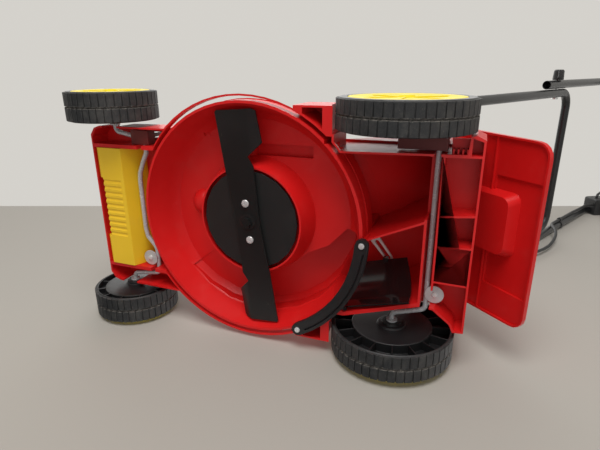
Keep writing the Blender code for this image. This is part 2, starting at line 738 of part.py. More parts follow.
def screw(name, place, seat, top, metal, carrier=None, radius=None):
    """A round-headed screw driven upwards: its head lies below the seat."""
    shank = SCREW_R if radius is None else radius
    return turned_part(name, [
        (0.0, top), (shank, top), (shank, seat - GAP), (2.6 * shank, seat - GAP),
        (1.9 * shank, seat - 0.0026), (0.0, seat - 0.0028)],
        metal, root if carrier is None else carrier, 10, place=(*place, 0.0))


# Motor and cutting set

def make_motor(plastic, steel, copper):
    base = MOTOR_FLOOR_Z + 0.003 + GAP
    turned_part("motor_housing", [
        (0.0163, base + WALL), (MOTOR_R - WALL, base + WALL), (MOTOR_R - WALL, 0.187), (0.0163, 0.187),
        (0.0163, 0.198), (0.022, 0.198), (0.022, 0.190), (MOTOR_R, 0.190), (MOTOR_R, base),
        (0.0163, base)], steel, root, 16, ring=True)
    turned_part("motor_stator", [
        (0.0385, 0.180), (MOTOR_R - WALL - GAP, 0.180), (MOTOR_R - WALL - GAP, base + WALL + GAP),
        (0.0385, base + WALL + GAP)], copper, root, 16, ring=True)
    turned_part("lower_bearing", [
        (SHAFT_R + GAP, 0.1035), (0.0160, 0.1035), (0.0160, 0.0970), (SHAFT_R + GAP, 0.0970)],
        steel, root, 14, ring=True)
    turned_part("upper_bearing", [
        (SHAFT_R + GAP, 0.1975), (0.0160, 0.1975), (0.0160, 0.1905), (SHAFT_R + GAP, 0.1905)],
        steel, root, 14, ring=True)
    cowl = turned_part("motor_cowl", [
        (0.0, 0.252), (0.064, 0.243), (0.083, 0.222), (0.091, 0.165), (0.0945, 0.124),
        (0.0985, 0.121), (0.0985, DECK_TOP_Z + GAP), (0.0915, DECK_TOP_Z + GAP), (0.088, 0.165),
        (0.080, 0.220), (0.062, 0.240), (0.0, 0.249)], plastic, root, 20)
    for i in range(6):
        angle = math.radians(-140 + 100 * i / 5)
        out = Vector((math.cos(angle), math.sin(angle), 0.0))
        name = "cowl_vent_%d" % (i + 1)
        across = Vector((-out.y, out.x, 0.0)) * 0.0022
        corners = [out * 0.070 - across, out * 0.110 - across, out * 0.110 + across, out * 0.070 + across]
        cut(cowl, tool(name, prism(name, [(c.x, c.y) for c in corners], 0.165, 0.208)))
    gland = cut(tool("cable_gland", rod("cable_gland", (*GLAND[:2], GLAND[2] - 0.038), GLAND, 0.009,
                                        0.007, sides=14)),
                tool("cable_gland_bore", rod("cable_gland_bore", (*GLAND[:2], GLAND[2] - 0.006),
                                             (*GLAND[:2], GLAND[2] + 0.01), CABLE_R + GAP, sides=12)))
    return fuse(cowl, gland)


def blade_mesh():
    """A flat bar whose trailing corners are bent up."""
    half = [(0.0, -0.022), (0.084, -0.037), (0.178, -0.051), (0.1815, -0.049), (0.1855, 0.012),
            (0.182, 0.019), (0.132, 0.028), (0.110, 0.004), (0.095, 0.014)]
    grow = BLADE_SPAN / 0.370
    half = [(x * grow, y) for x, y in half]
    outline = half + [(-x, -y) for x, y in half]
    mesh = prism("blade", outline, BLADE_Z, BLADE_Z + BLADE_T)
    bm = bmesh.new()
    bm.from_mesh(mesh)
    for side in (1, -1):
        start = Vector((0.104 * grow, 0.0055, 0.0)) * side
        along = Vector((0.079 * grow, -0.0055, 0.0)).normalized() * side
        across = Vector((-along.y, along.x, 0.0))
        bmesh.ops.bisect_plane(bm, geom=bm.verts[:] + bm.edges[:] + bm.faces[:], dist=0.00001,
                               plane_co=start, plane_no=across)
        for vert in bm.verts:
            reach = (vert.co - start).dot(across)
            if reach > 0.00002 and (vert.co - start).dot(along) > 0.0:
                lift = reach * math.sin(WING_BEND)
                vert.co -= across * reach * (1 - math.cos(WING_BEND))
                vert.co.z += lift
    bmesh.ops.recalc_face_normals(bm, faces=bm.faces)
    bm.to_mesh(mesh)
    bm.free()
    return mesh


def make_cutting_set(steel, dark, metal, rotor_paint, spin_axis):
    boss_z = BLADE_Z + BLADE_T + GAP
    fan_top = FAN_Z + FAN_T
    turned_part("motor_shaft", [
        (0.0, 0.201), (SHAFT_R, 0.201), (SHAFT_R, boss_z), (BOLT_R + GAP, boss_z),
        (BOLT_R + GAP, 0.090), (0.0, 0.090)], steel, spin_axis, 14)
    turned_part("motor_rotor", [
        (SHAFT_R + GAP, 0.176), (0.0375, 0.176), (0.0375, 0.112), (SHAFT_R + GAP, 0.112)],
        rotor_paint, spin_axis, 18, ring=True)
    fan = turned_part("fan_disc", [
        (SHAFT_R + GAP, 0.0965), (0.014, 0.0965), (0.016, fan_top), (FAN_R, fan_top),
        (FAN_R, FAN_Z), (0.021, FAN_Z), (0.020, boss_z),
        (SHAFT_R + GAP, boss_z)], dark, spin_axis, 20, ring=True)
    blade = part("blade", blade_mesh(), dark, spin_axis)
    cut(blade, tool("blade_hub_hole", rod("blade_hub_hole", (0, 0, 0.05), (0, 0, 0.08),
                                          BOLT_R + GAP, sides=14)))
    for word, place in (("a", (0.0318, -0.0029)), ("b", (-0.0318, 0.0029))):
        fuse(fan, tool("fan_boss_" + word, rod("fan_boss_" + word, (*place, boss_z),
                                               (*place, FAN_Z + 0.001), 0.0065, sides=10)))
        hole = tool("blade_screw_hole_" + word, rod("blade_screw_hole_" + word, (*place, 0.05),
                                                    (*place, 0.10), 0.0025 + GAP, sides=10))
        cut(fan, hole)
        cut(blade, hole)
        screw("blade_screw_" + word, place, BLADE_Z, fan_top, metal, spin_axis, 0.0025)
    bolt = part("blade_bolt", rod("blade_bolt", (0, 0, BLADE_Z - 0.0065), (0, 0, BLADE_Z - GAP),
                                  0.0085, sides=6), metal, spin_axis, smooth=False)
    fuse(bolt, tool("blade_bolt_shank", rod("blade_bolt_shank", (0, 0, BLADE_Z - 0.003), (0, 0, 0.0885),
                                            BOLT_R, sides=14)))


# Axles, wheels and height levers

def stub_parts(word, side, face, hub, bore_end, width, inner):
    """Thick end of an axle inside one wheel, with the collar behind the hub."""
    y, z = hub
    made = [tool(word + "_stub", rod(word + "_stub", (side * (inner + 0.001), y, z),
                                     (side * bore_end, y, z), HUB_BORE, sides=12))]
    made.append(tool(word + "_collar", rod(word + "_collar", (side * inner, y, z),
                                           (side * (face - width - GAP), y, z), 0.009, sides=12)))
    return made


def make_front_axle(metal, carrier):
    y, z = FRONT_HUB
    py, pz = FRONT_PIVOT
    start = FRONT_FACE - FRONT_HUB_W
    points = [(start, y, z), (FRONT_HALF - 0.011, y, z), (FRONT_HALF - 0.022, py, pz), (0.104, py, pz),
              (0.086, py - 0.010, pz),
              (0.066, py - 0.019, pz), (0.052, py - 0.021, pz), (-0.040, py - 0.021, pz),
              (-0.056, py - 0.018, pz), (-0.073, py - 0.003, pz), (-0.081, py, pz),
              (-FRONT_HALF + 0.022, py, pz), (-FRONT_HALF + 0.011, y, z), (-start, y, z)]
    axle = part("front_axle", tube_mesh("front_axle", bend(points, ROD_BEND, 2), ROD_R, 2), metal, carrier)
    for side, word in ((1, "front_left"), (-1, "front_right")):
        fuse(axle, *stub_parts(word, side, FRONT_FACE, FRONT_HUB, FRONT_FACE - 0.0065,
                               FRONT_HUB_W, FRONT_HALF + GAP))
    return axle


def make_rear_axle(metal, carrier):
    y, z = REAR_HUB
    py, pz = REAR_PIVOT
    start = REAR_FACE - REAR_HUB_W
    points = [(start, y, z), (0.1475, y, z), (0.140, py, pz), (-0.124, py, pz), (-0.1405, y, z),
              (-start, y, z)]
    axle = part("rear_axle", tube_mesh("rear_axle", bend(points, ROD_BEND, 2), ROD_R, 2), metal, carrier)
    for side, word in ((1, "rear_left"), (-1, "rear_right")):
        fuse(axle, *stub_parts(word, side, REAR_FACE, REAR_HUB, REAR_FACE - 0.0065,
                               REAR_HUB_W, start - 0.0035))
    return axle


def wheel_profile(radius, width, hub_width, hub_r, outer, inner):
    """From the hub over the dished outer face, round the tread and back over the inner face."""
    return [(hub_r, -0.006)] + outer + [
        (radius - 0.003, 0.0), (radius, -0.003), (radius, -width + 0.003), (radius - 0.003, -width)] + inner + [
        (hub_r, -hub_width), (HUB_BORE + GAP, -hub_width), (HUB_BORE + GAP, -0.006)]


def make_wheel(label, side, face, hub, profile, cap_r, tyre, cap_paint, carrier):
    turn = (0.0, side * math.pi / 2, 0.0)
    place = (side * face, *hub)
    turned_part(label + "_wheel", profile, tyre, carrier, 24, ring=True, place=place, turn=turn)
    turned_part(label + "_cap", [
        (0.0, 0.0022), (cap_r - 0.010, 0.0004), (cap_r, -0.001), (cap_r, -0.011),
        (cap_r - 0.0025, -0.011), (cap_r - 0.0025, -0.0038), (0.0, -0.0018)],
        cap_paint, carrier, 24, place=place, turn=turn)


def make_washers(zinc, metal):
    for word, place, pivot in (("front", FRONT_WASHER, FRONT_PIVOT), ("rear", REAR_WASHER, REAR_PIVOT)):
        seat = pivot[1] - ROD_R - GAP
        turned_part(word + "_axle_washer", [
            (SCREW_R + GAP, seat), (WASHER_R, seat), (WASHER_R, seat - 0.0025),
            (SCREW_R + GAP, seat - 0.0025)], zinc, root, 20, ring=True, place=(*place, 0.0))
        screw(word + "_washer_screw", place, seat - 0.0025, seat + SCREW_DEPTH, metal)


def make_height_lever(word, block, arm, knob, path, paint_, carrier):
    """A moulded cover over the axle's crank, with an upright arm and a knob."""
    lever = part(word + "_height_lever", box(word + "_height_lever", *block), paint_, carrier)
    fuse(lever, tool(word + "_lever_arm", box(word + "_lever_arm", *arm)),
         tool(word + "_lever_knob", rod(word + "_lever_knob", *knob, sides=16)))
    cut(lever, tool(word + "_lever_bore", tube_mesh(word + "_lever_bore", path, ROD_R + 2 * GAP, 2)))
    return lever


def make_height_levers(paint_, metal, front, rear):
    y, z = FRONT_HUB
    py, pz = FRONT_PIVOT
    path = bend([(FRONT_HALF, y, z), (FRONT_HALF - 0.011, y, z), (FRONT_HALF - 0.022, py, pz),
                 (FRONT_HALF - 0.050, py, pz)], ROD_BEND, 2)
    make_height_lever("front", ((FRONT_HALF - 0.0310, py - 0.022, pz - 0.009),
                                (FRONT_HALF - 0.0060, py + 0.014, pz + 0.011)),
                      ((FRONT_HALF - 0.0205, py - 0.006, pz + 0.005), (FRONT_HALF - 0.0150, py + 0.006, 0.158)),
                      ((FRONT_HALF - 0.0260, py, 0.158), (FRONT_HALF - 0.0095, py, 0.158), 0.0095), path, paint_, front)
    y, z = REAR_HUB
    py, pz = REAR_PIVOT
    path = bend([(REAR_FACE - REAR_HUB_W, y, z), (0.1475, y, z), (0.140, py, pz), (0.110, py, pz)],
                ROD_BEND, 2)
    make_height_lever("rear", ((0.1325, py - 0.058, pz - 0.011), (0.1500, py + 0.012, pz + 0.012)),
                      ((0.1372, py - 0.006, pz + 0.005), (0.1427, py + 0.006, 0.190)),
                      ((0.1368, py, 0.190), (0.1530, py, 0.190), 0.0095), path, paint_, rear)
    for word, carrier, low, high in (
            ("front", front, (FRONT_HALF - 0.0147, FRONT_PIVOT[0] - 0.0035, 0.0863),
             (FRONT_HALF - 0.0137, FRONT_PIVOT[0] + 0.0035, 0.1400)),
            ("rear", rear, (0.1359, REAR_PIVOT[0] - 0.0035, 0.1123), (0.1369, REAR_PIVOT[0] + 0.0035, 0.1650))):
        part(word + "_lever_spring", box(word + "_lever_spring", low, high), metal, carrier, smooth=False)


# Rear outlet: mulch flap with its crank, and the rear flap

def make_mulch_flap(material, carrier):
    """A leaning curved panel on an upright pin, seen along its length as (out, height)."""
    low = MULCH_Z
    lean = [(0.0, low), (0.001, low + 0.020), (0.006, low + 0.035), (0.016, low + 0.052),
            (0.030, low + 0.067), (0.046, low + 0.078)]
    thick = 0.0025
    along = Vector((math.cos(MULCH_TURN), math.sin(MULCH_TURN), 0.0))
    out = Vector((along.y, -along.x, 0.0))
    pin = Vector((*MULCH_PIVOT, 0.0))

    def section(shift, trim):
        ring = []
        for sign in (0, 1):
            row = []
            for i, (n, z) in enumerate(lean):
                a, b = lean[max(0, i - 1)], lean[min(len(lean) - 1, i + 1)]
                run = Vector((b[0] - a[0], b[1] - a[1])).normalized()
                u = shift if trim == 0 else min(shift, 0.104 - max(0.0, n - 0.008) * 0.15)
                spot = Vector((n, z)) + Vector((run.y, -run.x)) * thick * sign
                row.append(pin + along * u + out * spot.x + Vector((0, 0, spot.y)))
            ring += row if sign == 0 else row[::-1]
        return ring

    flap = part("mulch_flap", loft("mulch_flap", [section(0.001, 0), section(MULCH_LENGTH, 1)]),
                material, carrier)
    top = under_slope(0, MULCH_PIVOT[1] - 0.004) - GAP
    barrel = tool("mulch_barrel", rod("mulch_barrel", (*MULCH_PIVOT, RIM_Z), (*MULCH_PIVOT, top),
                                      0.004, sides=12))
    tip = pin + along * 0.0618 + out * 0.0470
    tab = tool("mulch_tab", box("mulch_tab", (tip.x - 0.006, tip.y - 0.004, 0.1330),
                                (tip.x + 0.004, tip.y + 0.004, 0.1430)))
    peg = tool("mulch_peg", rod("mulch_peg", (tip.x, tip.y, 0.138), (tip.x, tip.y, CRANK_Z - 0.0015),
                                0.0025, sides=10))
    return fuse(flap, barrel, tab, peg)


def make_mulch_crank(arm_paint, knob_paint, carrier):
    """A shaft through the hood, with a lever above it and a slotted arm below it."""
    shaft = (*CRANK_PIVOT, CRANK_Z)
    arm = part("mulch_crank", rod("mulch_crank", shaft, (*CRANK_PIVOT, CRANK_TOP + 0.007), CRANK_SHAFT_R,
                                  sides=16), arm_paint, carrier)
    angle = math.radians(141.7)
    along = Vector((math.cos(angle), math.sin(angle)))
    across = Vector((-along.y, along.x))

    def place(points):
        return [tuple(Vector(CRANK_PIVOT) + along * u + across * v) for u, v in points]

    tip = CRANK_R + 0.006
    blank = arc(0.009, math.pi / 2, 3 * math.pi / 2, 6) + arc(0.0065, -math.pi / 2, math.pi / 2, 5, (tip, 0.0))
    slot = arc(0.0033, math.pi / 2, 3 * math.pi / 2, 5, (0.022, 0.0)) + arc(
        0.0033, -math.pi / 2, math.pi / 2, 5, (tip - 0.001, 0.0))
    fuse(arm, tool("crank_arm", prism("crank_arm", place(blank), CRANK_Z, CRANK_Z + CRANK_T)))
    cut(arm, tool("crank_slot", prism("crank_slot", place(slot), CRANK_Z - 0.01, CRANK_Z + 0.01)))
    base = CRANK_TOP + GAP
    lever = turned_part("mulch_lever", [
        (0.0, base + 0.012), (0.010, base + 0.012), (0.013, base + 0.009), (0.013, base),
        (CRANK_SHAFT_R + GAP, base), (CRANK_SHAFT_R + GAP, base + 0.0075), (0.0, base + 0.0075)],
        knob_paint, carrier, 16, place=(*CRANK_PIVOT, 0.0))
    x, y = CRANK_PIVOT
    outline = [(x - 0.008, y + 0.007)] + arc(0.008, math.pi / 2, 3 * math.pi / 2, 6, (x - 0.048, y)) + [
        (x - 0.008, y - 0.007)]
    return fuse(lever, tool("mulch_handle", prism("mulch_handle", outline, base + 0.002, base + 0.0085)))


def make_rear_flap(material, carrier):
    """A tray that hangs over the outlet from two knuckles, bulged in towards it."""
    half = FLAP_T / 2
    turn = flap_matrix()

    def shape(mesh):
        mesh.transform(turn)
        return mesh

    def outline(inset, start):
        return [(0.150 - inset, start), (-0.150 + inset, start), (-0.146 + inset, 0.172)] + [
            (-x, y) for x, y in arc(0.022 - inset, 0.0, math.pi / 2, 4, (0.1235, FLAP_LENGTH - 0.022))
            ] + arc(0.022 - inset, math.pi / 2, 0.0, 4, (0.1235, FLAP_LENGTH - 0.022)) + [
            (0.146 - inset, 0.172)]

    flap = part("rear_flap", shape(prism("rear_flap", outline(0.0, 0.014), -half - FLAP_LIP, half)),
                material, carrier)
    cut(flap, tool("flap_inside", shape(prism("flap_inside", outline(FLAP_T, -0.01),
                                              -half - FLAP_LIP - 0.01, -half))))

    def bulge(name, inset, depth, top):
        rows = []
        for grow, w in ((0.0, top), (0.006, depth)):
            x0, x1 = -0.040 + inset + grow, 0.064 - inset - grow
            y0, y1 = 0.060 + inset + grow, 0.165 - inset - grow
            ring = rounded((x1 - x0) / 2, (y1 - y0) / 2, 0.014, 3, ((x0 + x1) / 2, (y0 + y1) / 2))
            rows.append([(x, y, w) for x, y in ring])
        return tool(name, shape(loft(name, rows)))

    knuckles = []
    holes = []
    for side, word in ((1, "left"), (-1, "right")):
        a, b = sorted((side * (LUG_X - 0.0205), side * (LUG_X - 0.0008)))
        knuckle = tool(word + "_knuckle", rod(word + "_knuckle", (a, *FLAP_PIVOT), (b, *FLAP_PIVOT),
                                              0.0058, sides=14))
        strap = tool(word + "_strap", shape(box(word + "_strap", (a, 0.0, 0.0003 - half),
                                                          (b, 0.020, half - 0.0003))))
        knuckles += [knuckle, strap]
    fuse(flap, tool("flap_step", shape(box("flap_step", (-0.099, 0.1135, half - 0.001),
                                           (0.089, FLAP_LENGTH - 0.004, half + 0.0035)))))
    cut(flap, tool("flap_step_inside", shape(box("flap_step_inside", (-0.096, 0.1165, -half - 0.02),
                                                 (0.086, FLAP_LENGTH - 0.007, half + 0.0005)))))
    fuse(flap, bulge("flap_bulge", 0.0, -0.0165, half + 0.0012), *knuckles,
         tool("flap_rib", shape(box("flap_rib", (-0.1475, 0.1112, -half - 0.003), (0.1475, 0.1130, -half + 0.001)))))
    cut(flap, bulge("flap_dish", FLAP_T, -0.0165 + FLAP_T, half + 0.005))
    cut(flap, tool("flap_bore", rod("flap_bore", (-0.14, *FLAP_PIVOT), (0.14, *FLAP_PIVOT),
                                    PIN_R + GAP, sides=12)))
    return flap


def least_gap(points, radius):
    """Least clear distance between stretches of a wound wire."""
    best = 1.0
    for i, a in enumerate(points):
        for b in points[i + SPRING_POINTS // 2:]:
            best = min(best, (a - b).length)
    return best - 2 * radius


def make_flap_spring(steel, metal, carrier):
    part("rear_flap_pin", rod("rear_flap_pin", (-LUG_X - 0.0085, *FLAP_PIVOT), (LUG_X + 0.0085, *FLAP_PIVOT),
                              PIN_R, sides=12), metal, root)
    coil = PIN_R + SPRING_WIRE + 0.0004
    count = SPRING_TURNS * SPRING_POINTS
    points = []
    for i in range(count + 1):
        angle = -math.pi / 2 + math.tau * i / SPRING_POINTS
        x = SPRING_PITCH * (i / SPRING_POINTS - SPRING_TURNS / 2)
        points.append(Vector((x, FLAP_PIVOT[0] - coil * math.cos(angle), FLAP_PIVOT[1] + coil * math.sin(angle))))
    print("rear flap spring, least gap between turns: %.2f mm" % (least_gap(points, SPRING_WIRE) * 1000))
    return part("rear_flap_spring", tube_mesh("rear_flap_spring", points, SPRING_WIRE, 1), steel, root)


# Handle

def arm_point(along, x=0.0, out=0.0):
    """A point on the lower handle's line, with out towards the rear and below it."""
    y = ARM_PIVOT[0] + along * math.cos(ARM_PITCH) + out * math.sin(ARM_PITCH)
    z = ARM_PIVOT[1] + along * math.sin(ARM_PITCH) - out * math.cos(ARM_PITCH)
    return Vector((x, y, z))


def grip_matrix():
    """From the grip's own frame: X across, Y along the grip to the rear, Z above it."""
    start = arm_point(UPPER_STRAIGHT)
    return Matrix.Translation(start) @ Matrix.Rotation(GRIP_PITCH, 4, "X")


def grip_point(x, along, above=0.0):
    return grip_matrix() @ Vector((x, along, above))


def upper_path():
    """Up one leg, back along the grip, across and down again."""
    start, corner, end = arm_point(UPPER_START), arm_point(UPPER_STRAIGHT), grip_point(0, GRIP_LENGTH)
    path = [(-UPPER_X, *p.yz) for p in (start, corner, end)]
    path += [(UPPER_X, *p.yz) for p in (end, corner, start)]
    return bend(path, 0.045, 4)


def make_handles(black, metal, knob_paint, lower_axis, upper_axis, knob_axes):
    low = arm_point(-0.014)
    top = arm_point(ARM_LENGTH)
    path = [(-ARM_X, *low.yz), (-ARM_X, *top.yz), (ARM_X, *top.yz), (ARM_X, *low.yz)]
    lower = part("lower_handle", tube_mesh("lower_handle", bend(path, ARM_BEND, 4), TUBE_R, 3),
                 black, lower_axis)
    upper = part("upper_handle", tube_mesh("upper_handle", upper_path(), TUBE_R, 3),
                 black, upper_axis)
    for thing, line in ((lower, bend(path, ARM_BEND, 4)), (upper, upper_path())):
        first, last = line[0] + (line[0] - line[1]).normalized() * 0.005, (
            line[-1] + (line[-1] - line[-2]).normalized() * 0.005)
        name = thing.name + "_inside"
        cut(thing, tool(name, tube_mesh(name, [first] + line[1:-1] + [last], TUBE_R - TUBE_T, 1)))
    fold = arm_point(UPPER_BOLT)
    for side, word in ((1, "left"), (-1, "right")):
        name = word + "_arm_bore"
        cut(lower, tool(name, rod(name, (side * 0.165, *ARM_PIVOT), (side * 0.20, *ARM_PIVOT),
                                  ARM_BOLT_R + GAP, sides=10)))
        name = word + "_fold_bore"
        bore = tool(name, rod(name, (side * 0.165, *fold.yz), (side * 0.22, *fold.yz),
                              FOLD_BOLT_R + GAP, sides=10))
        cut(lower, bore)
        cut(upper, bore)
        turn = (0.0, side * math.pi / 2, 0.0)
        outer = ARM_X + TUBE_R
        turned_part("lower_bolt_" + word, [
            (0.0, outer + 0.0045), (0.006, outer + 0.0045), (0.0075, outer + 0.003), (0.0075, outer + GAP),
            (ARM_BOLT_R, outer + GAP), (ARM_BOLT_R, EAR_X - WALL - GAP), (0.0075, EAR_X - WALL - GAP),
            (0.0075, EAR_X - WALL - 0.005), (0.0, EAR_X - WALL - 0.005)], metal, root, 12,
            place=(0.0, *ARM_PIVOT), turn=turn)
        inner, outer = ARM_X - TUBE_R, UPPER_X + TUBE_R
        turned_part("fold_bolt_" + word, [
            (0.0, outer + 0.013), (FOLD_BOLT_R, outer + 0.013), (FOLD_BOLT_R, inner - GAP),
            (0.0075, inner - GAP), (0.0070, inner - 0.004), (0.0, inner - 0.0045)],
            metal, lower_axis, 12, place=(0.0, *fold.yz), turn=turn)
        knob = turned_part("wing_knob_" + word, [
            (0.0, KNOB_X), (0.009, KNOB_X), (0.0115, KNOB_X - 0.003), (0.0125, outer + 0.004),
            (0.0125, outer + GAP), (0.0, outer + GAP)], knob_paint, knob_axes[word], 12,
            place=(0.0, *fold.yz), turn=turn)
        a, b = sorted((side * (outer + 0.006), side * (KNOB_X - 0.0015)))
        wing = tool(word + "_wings", box(word + "_wings", (a, fold.y - 0.0035, fold.z - 0.026),
                                         (b, fold.y + 0.0035, fold.z + 0.026)))
        bore = tool(word + "_knob_bore", rod(word + "_knob_bore", (side * (outer - 0.003), *fold.yz),
                                             (side * (outer + 0.0135), *fold.yz), FOLD_BOLT_R + GAP,
                                             sides=10))
        fuse(knob, wing)
        cut(knob, bore)
    return lower, upper


def on_grip(mesh):
    mesh.transform(grip_matrix())
    return mesh


def make_controls(black, grey, button_paint, bail_paint, metal, upper, bail_axis, button_axis):
    """Switch box on the right grip, with its start button, bail, inlet and cord hook."""
    tube = tool("box_tube_bore", tube_mesh("box_tube_bore", upper_path(), TUBE_R + 2 * GAP, 3))
    box_low, box_high = (-0.2365, 0.020, -0.026), (-0.164, 0.088, 0.030)
    case = part("switch_box", on_grip(box("switch_box", box_low, box_high)), black, upper)
    case_bevel = case.modifiers.new("Round edges", "BEVEL")
    case_bevel.width = 0.006
    case_bevel.segments = 2
    cut(case, tube)
    place = (-0.200, 0.054)
    cut(case, tool("button_well", on_grip(rod("button_well", (*place, 0.014), (*place, 0.05), 0.0093,
                                              sides=16))))
    part("start_button", on_grip(rod("start_button", (*place, 0.0215), (*place, 0.0365), 0.0090,
                                     0.0082, sides=16)), button_paint, button_axis)
    hinge = 0.040
    radius = 0.004
    raised = math.radians(32)
    reach = 0.092
    down = (hinge + reach * math.cos(raised), reach * math.sin(raised))
    left, right = UPPER_X - TUBE_R + 0.004, -0.164 - 0.005
    path = [(left, hinge, 0.0), (UPPER_X - 0.020, hinge, 0.0), (UPPER_X - 0.032, *down),
            (-0.142, *down), (-0.154, hinge, 0.0), (right, hinge, 0.0)]
    part("bail", on_grip(tube_mesh("bail", bend(path, 0.012, 2), radius, 2)), bail_paint, bail_axis)
    bore = tool("bail_bore", on_grip(rod("bail_bore", (right - 0.0005, hinge, 0.0), (left + 0.0005, hinge, 0.0),
                                         radius + GAP, sides=12)))
    cut(case, bore)
    cut(bpy.data.objects["upper_handle"], bore)
    inlet = part("plug_inlet", on_grip(box("plug_inlet", (-0.222, 0.048, -0.0500),
                                           (-0.182, 0.078, box_low[2] - GAP))), grey, upper)
    cut(inlet, tool("inlet_socket", on_grip(box("inlet_socket", (-0.2185, 0.0515, -0.07),
                                                (-0.1855, 0.0745, -0.031)))))
    pins = []
    for i in (-1, 1):
        name = "inlet_pin_%s" % ("a" if i < 0 else "b")
        pins.append(tool(name, on_grip(rod(name, (-0.202 + i * 0.0085, 0.063, -0.047),
                                           (-0.202 + i * 0.0085, 0.063, -0.029), 0.0024, sides=10))))
    fuse(inlet, *pins)
    hook = part("cord_hook", on_grip(rod("cord_hook", (0.085, GRIP_LENGTH, 0.0), (0.103, GRIP_LENGTH, 0.0),
                                         HOOK_R, sides=16)), grey, upper)
    arm = [(0.094, GRIP_LENGTH - 0.002, -0.011), (0.094, GRIP_LENGTH - 0.010, -0.034),
           (0.094, GRIP_LENGTH - 0.024, -0.044), (0.094, GRIP_LENGTH - 0.038, -0.036),
           (0.094, GRIP_LENGTH - 0.042, -0.022)]
    fuse(hook, tool("hook_arm", on_grip(tube_mesh("hook_arm", arm, 0.0035, 2))))
    cut(hook, tool("hook_bore", on_grip(rod("hook_bore", (0.08, GRIP_LENGTH, 0.0), (0.11, GRIP_LENGTH, 0.0),
                                            TUBE_R + 2 * GAP, sides=16))))


def clip(name, spot, run, material, carrier):
    """A ring round the handle's tube with a smaller one beside it for the lead."""
    middle, beside, radius = spot
    along = run.normalized() * 0.006
    made = part(name, rod(name, middle - along, middle + along, radius + 0.0022, sides=18), material, carrier)
    less, more = along * 0.9, along * 1.2
    fuse(made, tool(name + "_eye", rod(name + "_eye", beside - less, beside + less, CABLE_R + 0.0022,
                                       sides=14)))
    return cut(made, tool(name + "_bore", rod(name + "_bore", middle - more, middle + more, radius + GAP,
                                              sides=18)),
               tool(name + "_eye_bore", rod(name + "_eye_bore", beside - more, beside + more,
                                            CABLE_R + 2 * GAP, sides=14)))


def make_cables(rubber, clip_paint, lower_axis, upper_axis):
    """The motor lead: down the right leg, a slack loop past the fold, and on to the motor."""
    upper_x = -UPPER_X + TUBE_R + CABLE_R + 0.0012
    lower_x = -ARM_X + TUBE_R + CABLE_R + 0.0012
    run = arm_point(1.0) - arm_point(0.0)
    top, high, low = UPPER_STRAIGHT, UPPER_BOLT + 0.200, UPPER_BOLT - 0.245
    clip("cable_clip_upper", (arm_point(high, -UPPER_X), arm_point(high, upper_x), TUBE_R), run,
         clip_paint, upper_axis)
    clip("cable_clip_lower", (arm_point(low, -ARM_X), arm_point(low, lower_x), TUBE_R), run,
         clip_paint, lower_axis)
    start = [grip_point(-0.1825, 0.0195, -0.014), grip_point(-0.1828, -0.006, -0.014),
             arm_point(top - 0.060, upper_x + 0.0028, 0.0056)]
    route = bend(start, 0.040, 6)[:-1] + [
        arm_point(top + along, upper_x + across, out) for along, across, out in (
            (-0.034, 0.0042, 0.0070), (-0.048, 0.0034, 0.0060), (-0.070, 0.0020, 0.0040),
            (-0.095, 0.0006, 0.0012), (-0.120, 0.0, 0.0), (-0.150, 0.0, 0.0))]
    route += [arm_point(high + along, upper_x) for along in (0.020, -0.015, -0.040)]
    part("cable_upper", tube_mesh("cable_upper", smooth_path(route, 0.020), CABLE_R, 2), rubber, upper_axis)
    route = [arm_point(high + along, upper_x + across, out) for along, across, out in (
        (-0.0404, 0.0, 0.0), (-0.054, 0.0, 0.0003), (-0.069, 0.0005, 0.0035), (-0.088, 0.0015, 0.0130),
        (-0.110, 0.0010, 0.0270), (-0.136, -0.0030, 0.0390), (-0.172, -0.0090, 0.0475))]
    route += [arm_point(low + along, x, out) for along, x, out in (
        (0.225, -0.2030, 0.0510), (0.165, -0.2015, 0.0460),
        (0.124, -0.1920, 0.0345), (0.096, -0.1800, 0.0215), (0.074, -0.1705, 0.0092),
        (0.058, -0.1680, 0.0023), (0.044, lower_x, 0.0001), (0.0304, lower_x, 0.0))]
    part("cable_loop", tube_mesh("cable_loop", smooth_path(route, 0.020), CABLE_R, 2), rubber, lower_axis)
    x, y, z = GLAND
    route = [arm_point(low + along, lower_x, 0.0) for along in (0.0299, 0.015, -0.015, -0.038)]
    route += [arm_point(low * 2 / 3, -0.162, 0.002), arm_point(low * 7 / 15, -0.153, -0.010),
              (-0.144, 0.284, 0.356), (-0.130, 0.244, 0.337), (-0.110, 0.196, 0.330), (-0.086, 0.145, 0.329),
              (-0.068, 0.108, 0.321), (-0.056, 0.084, 0.306), (-0.0482, 0.0686, 0.288),
              (x - 0.0005, y + 0.0011, z + 0.020), (x, y, z + 0.006), (x, y, z - 0.0055)]
    part("cable_tail", tube_mesh("cable_tail", smooth_path(route, 0.020), CABLE_R, 2), rubber, lower_axis)


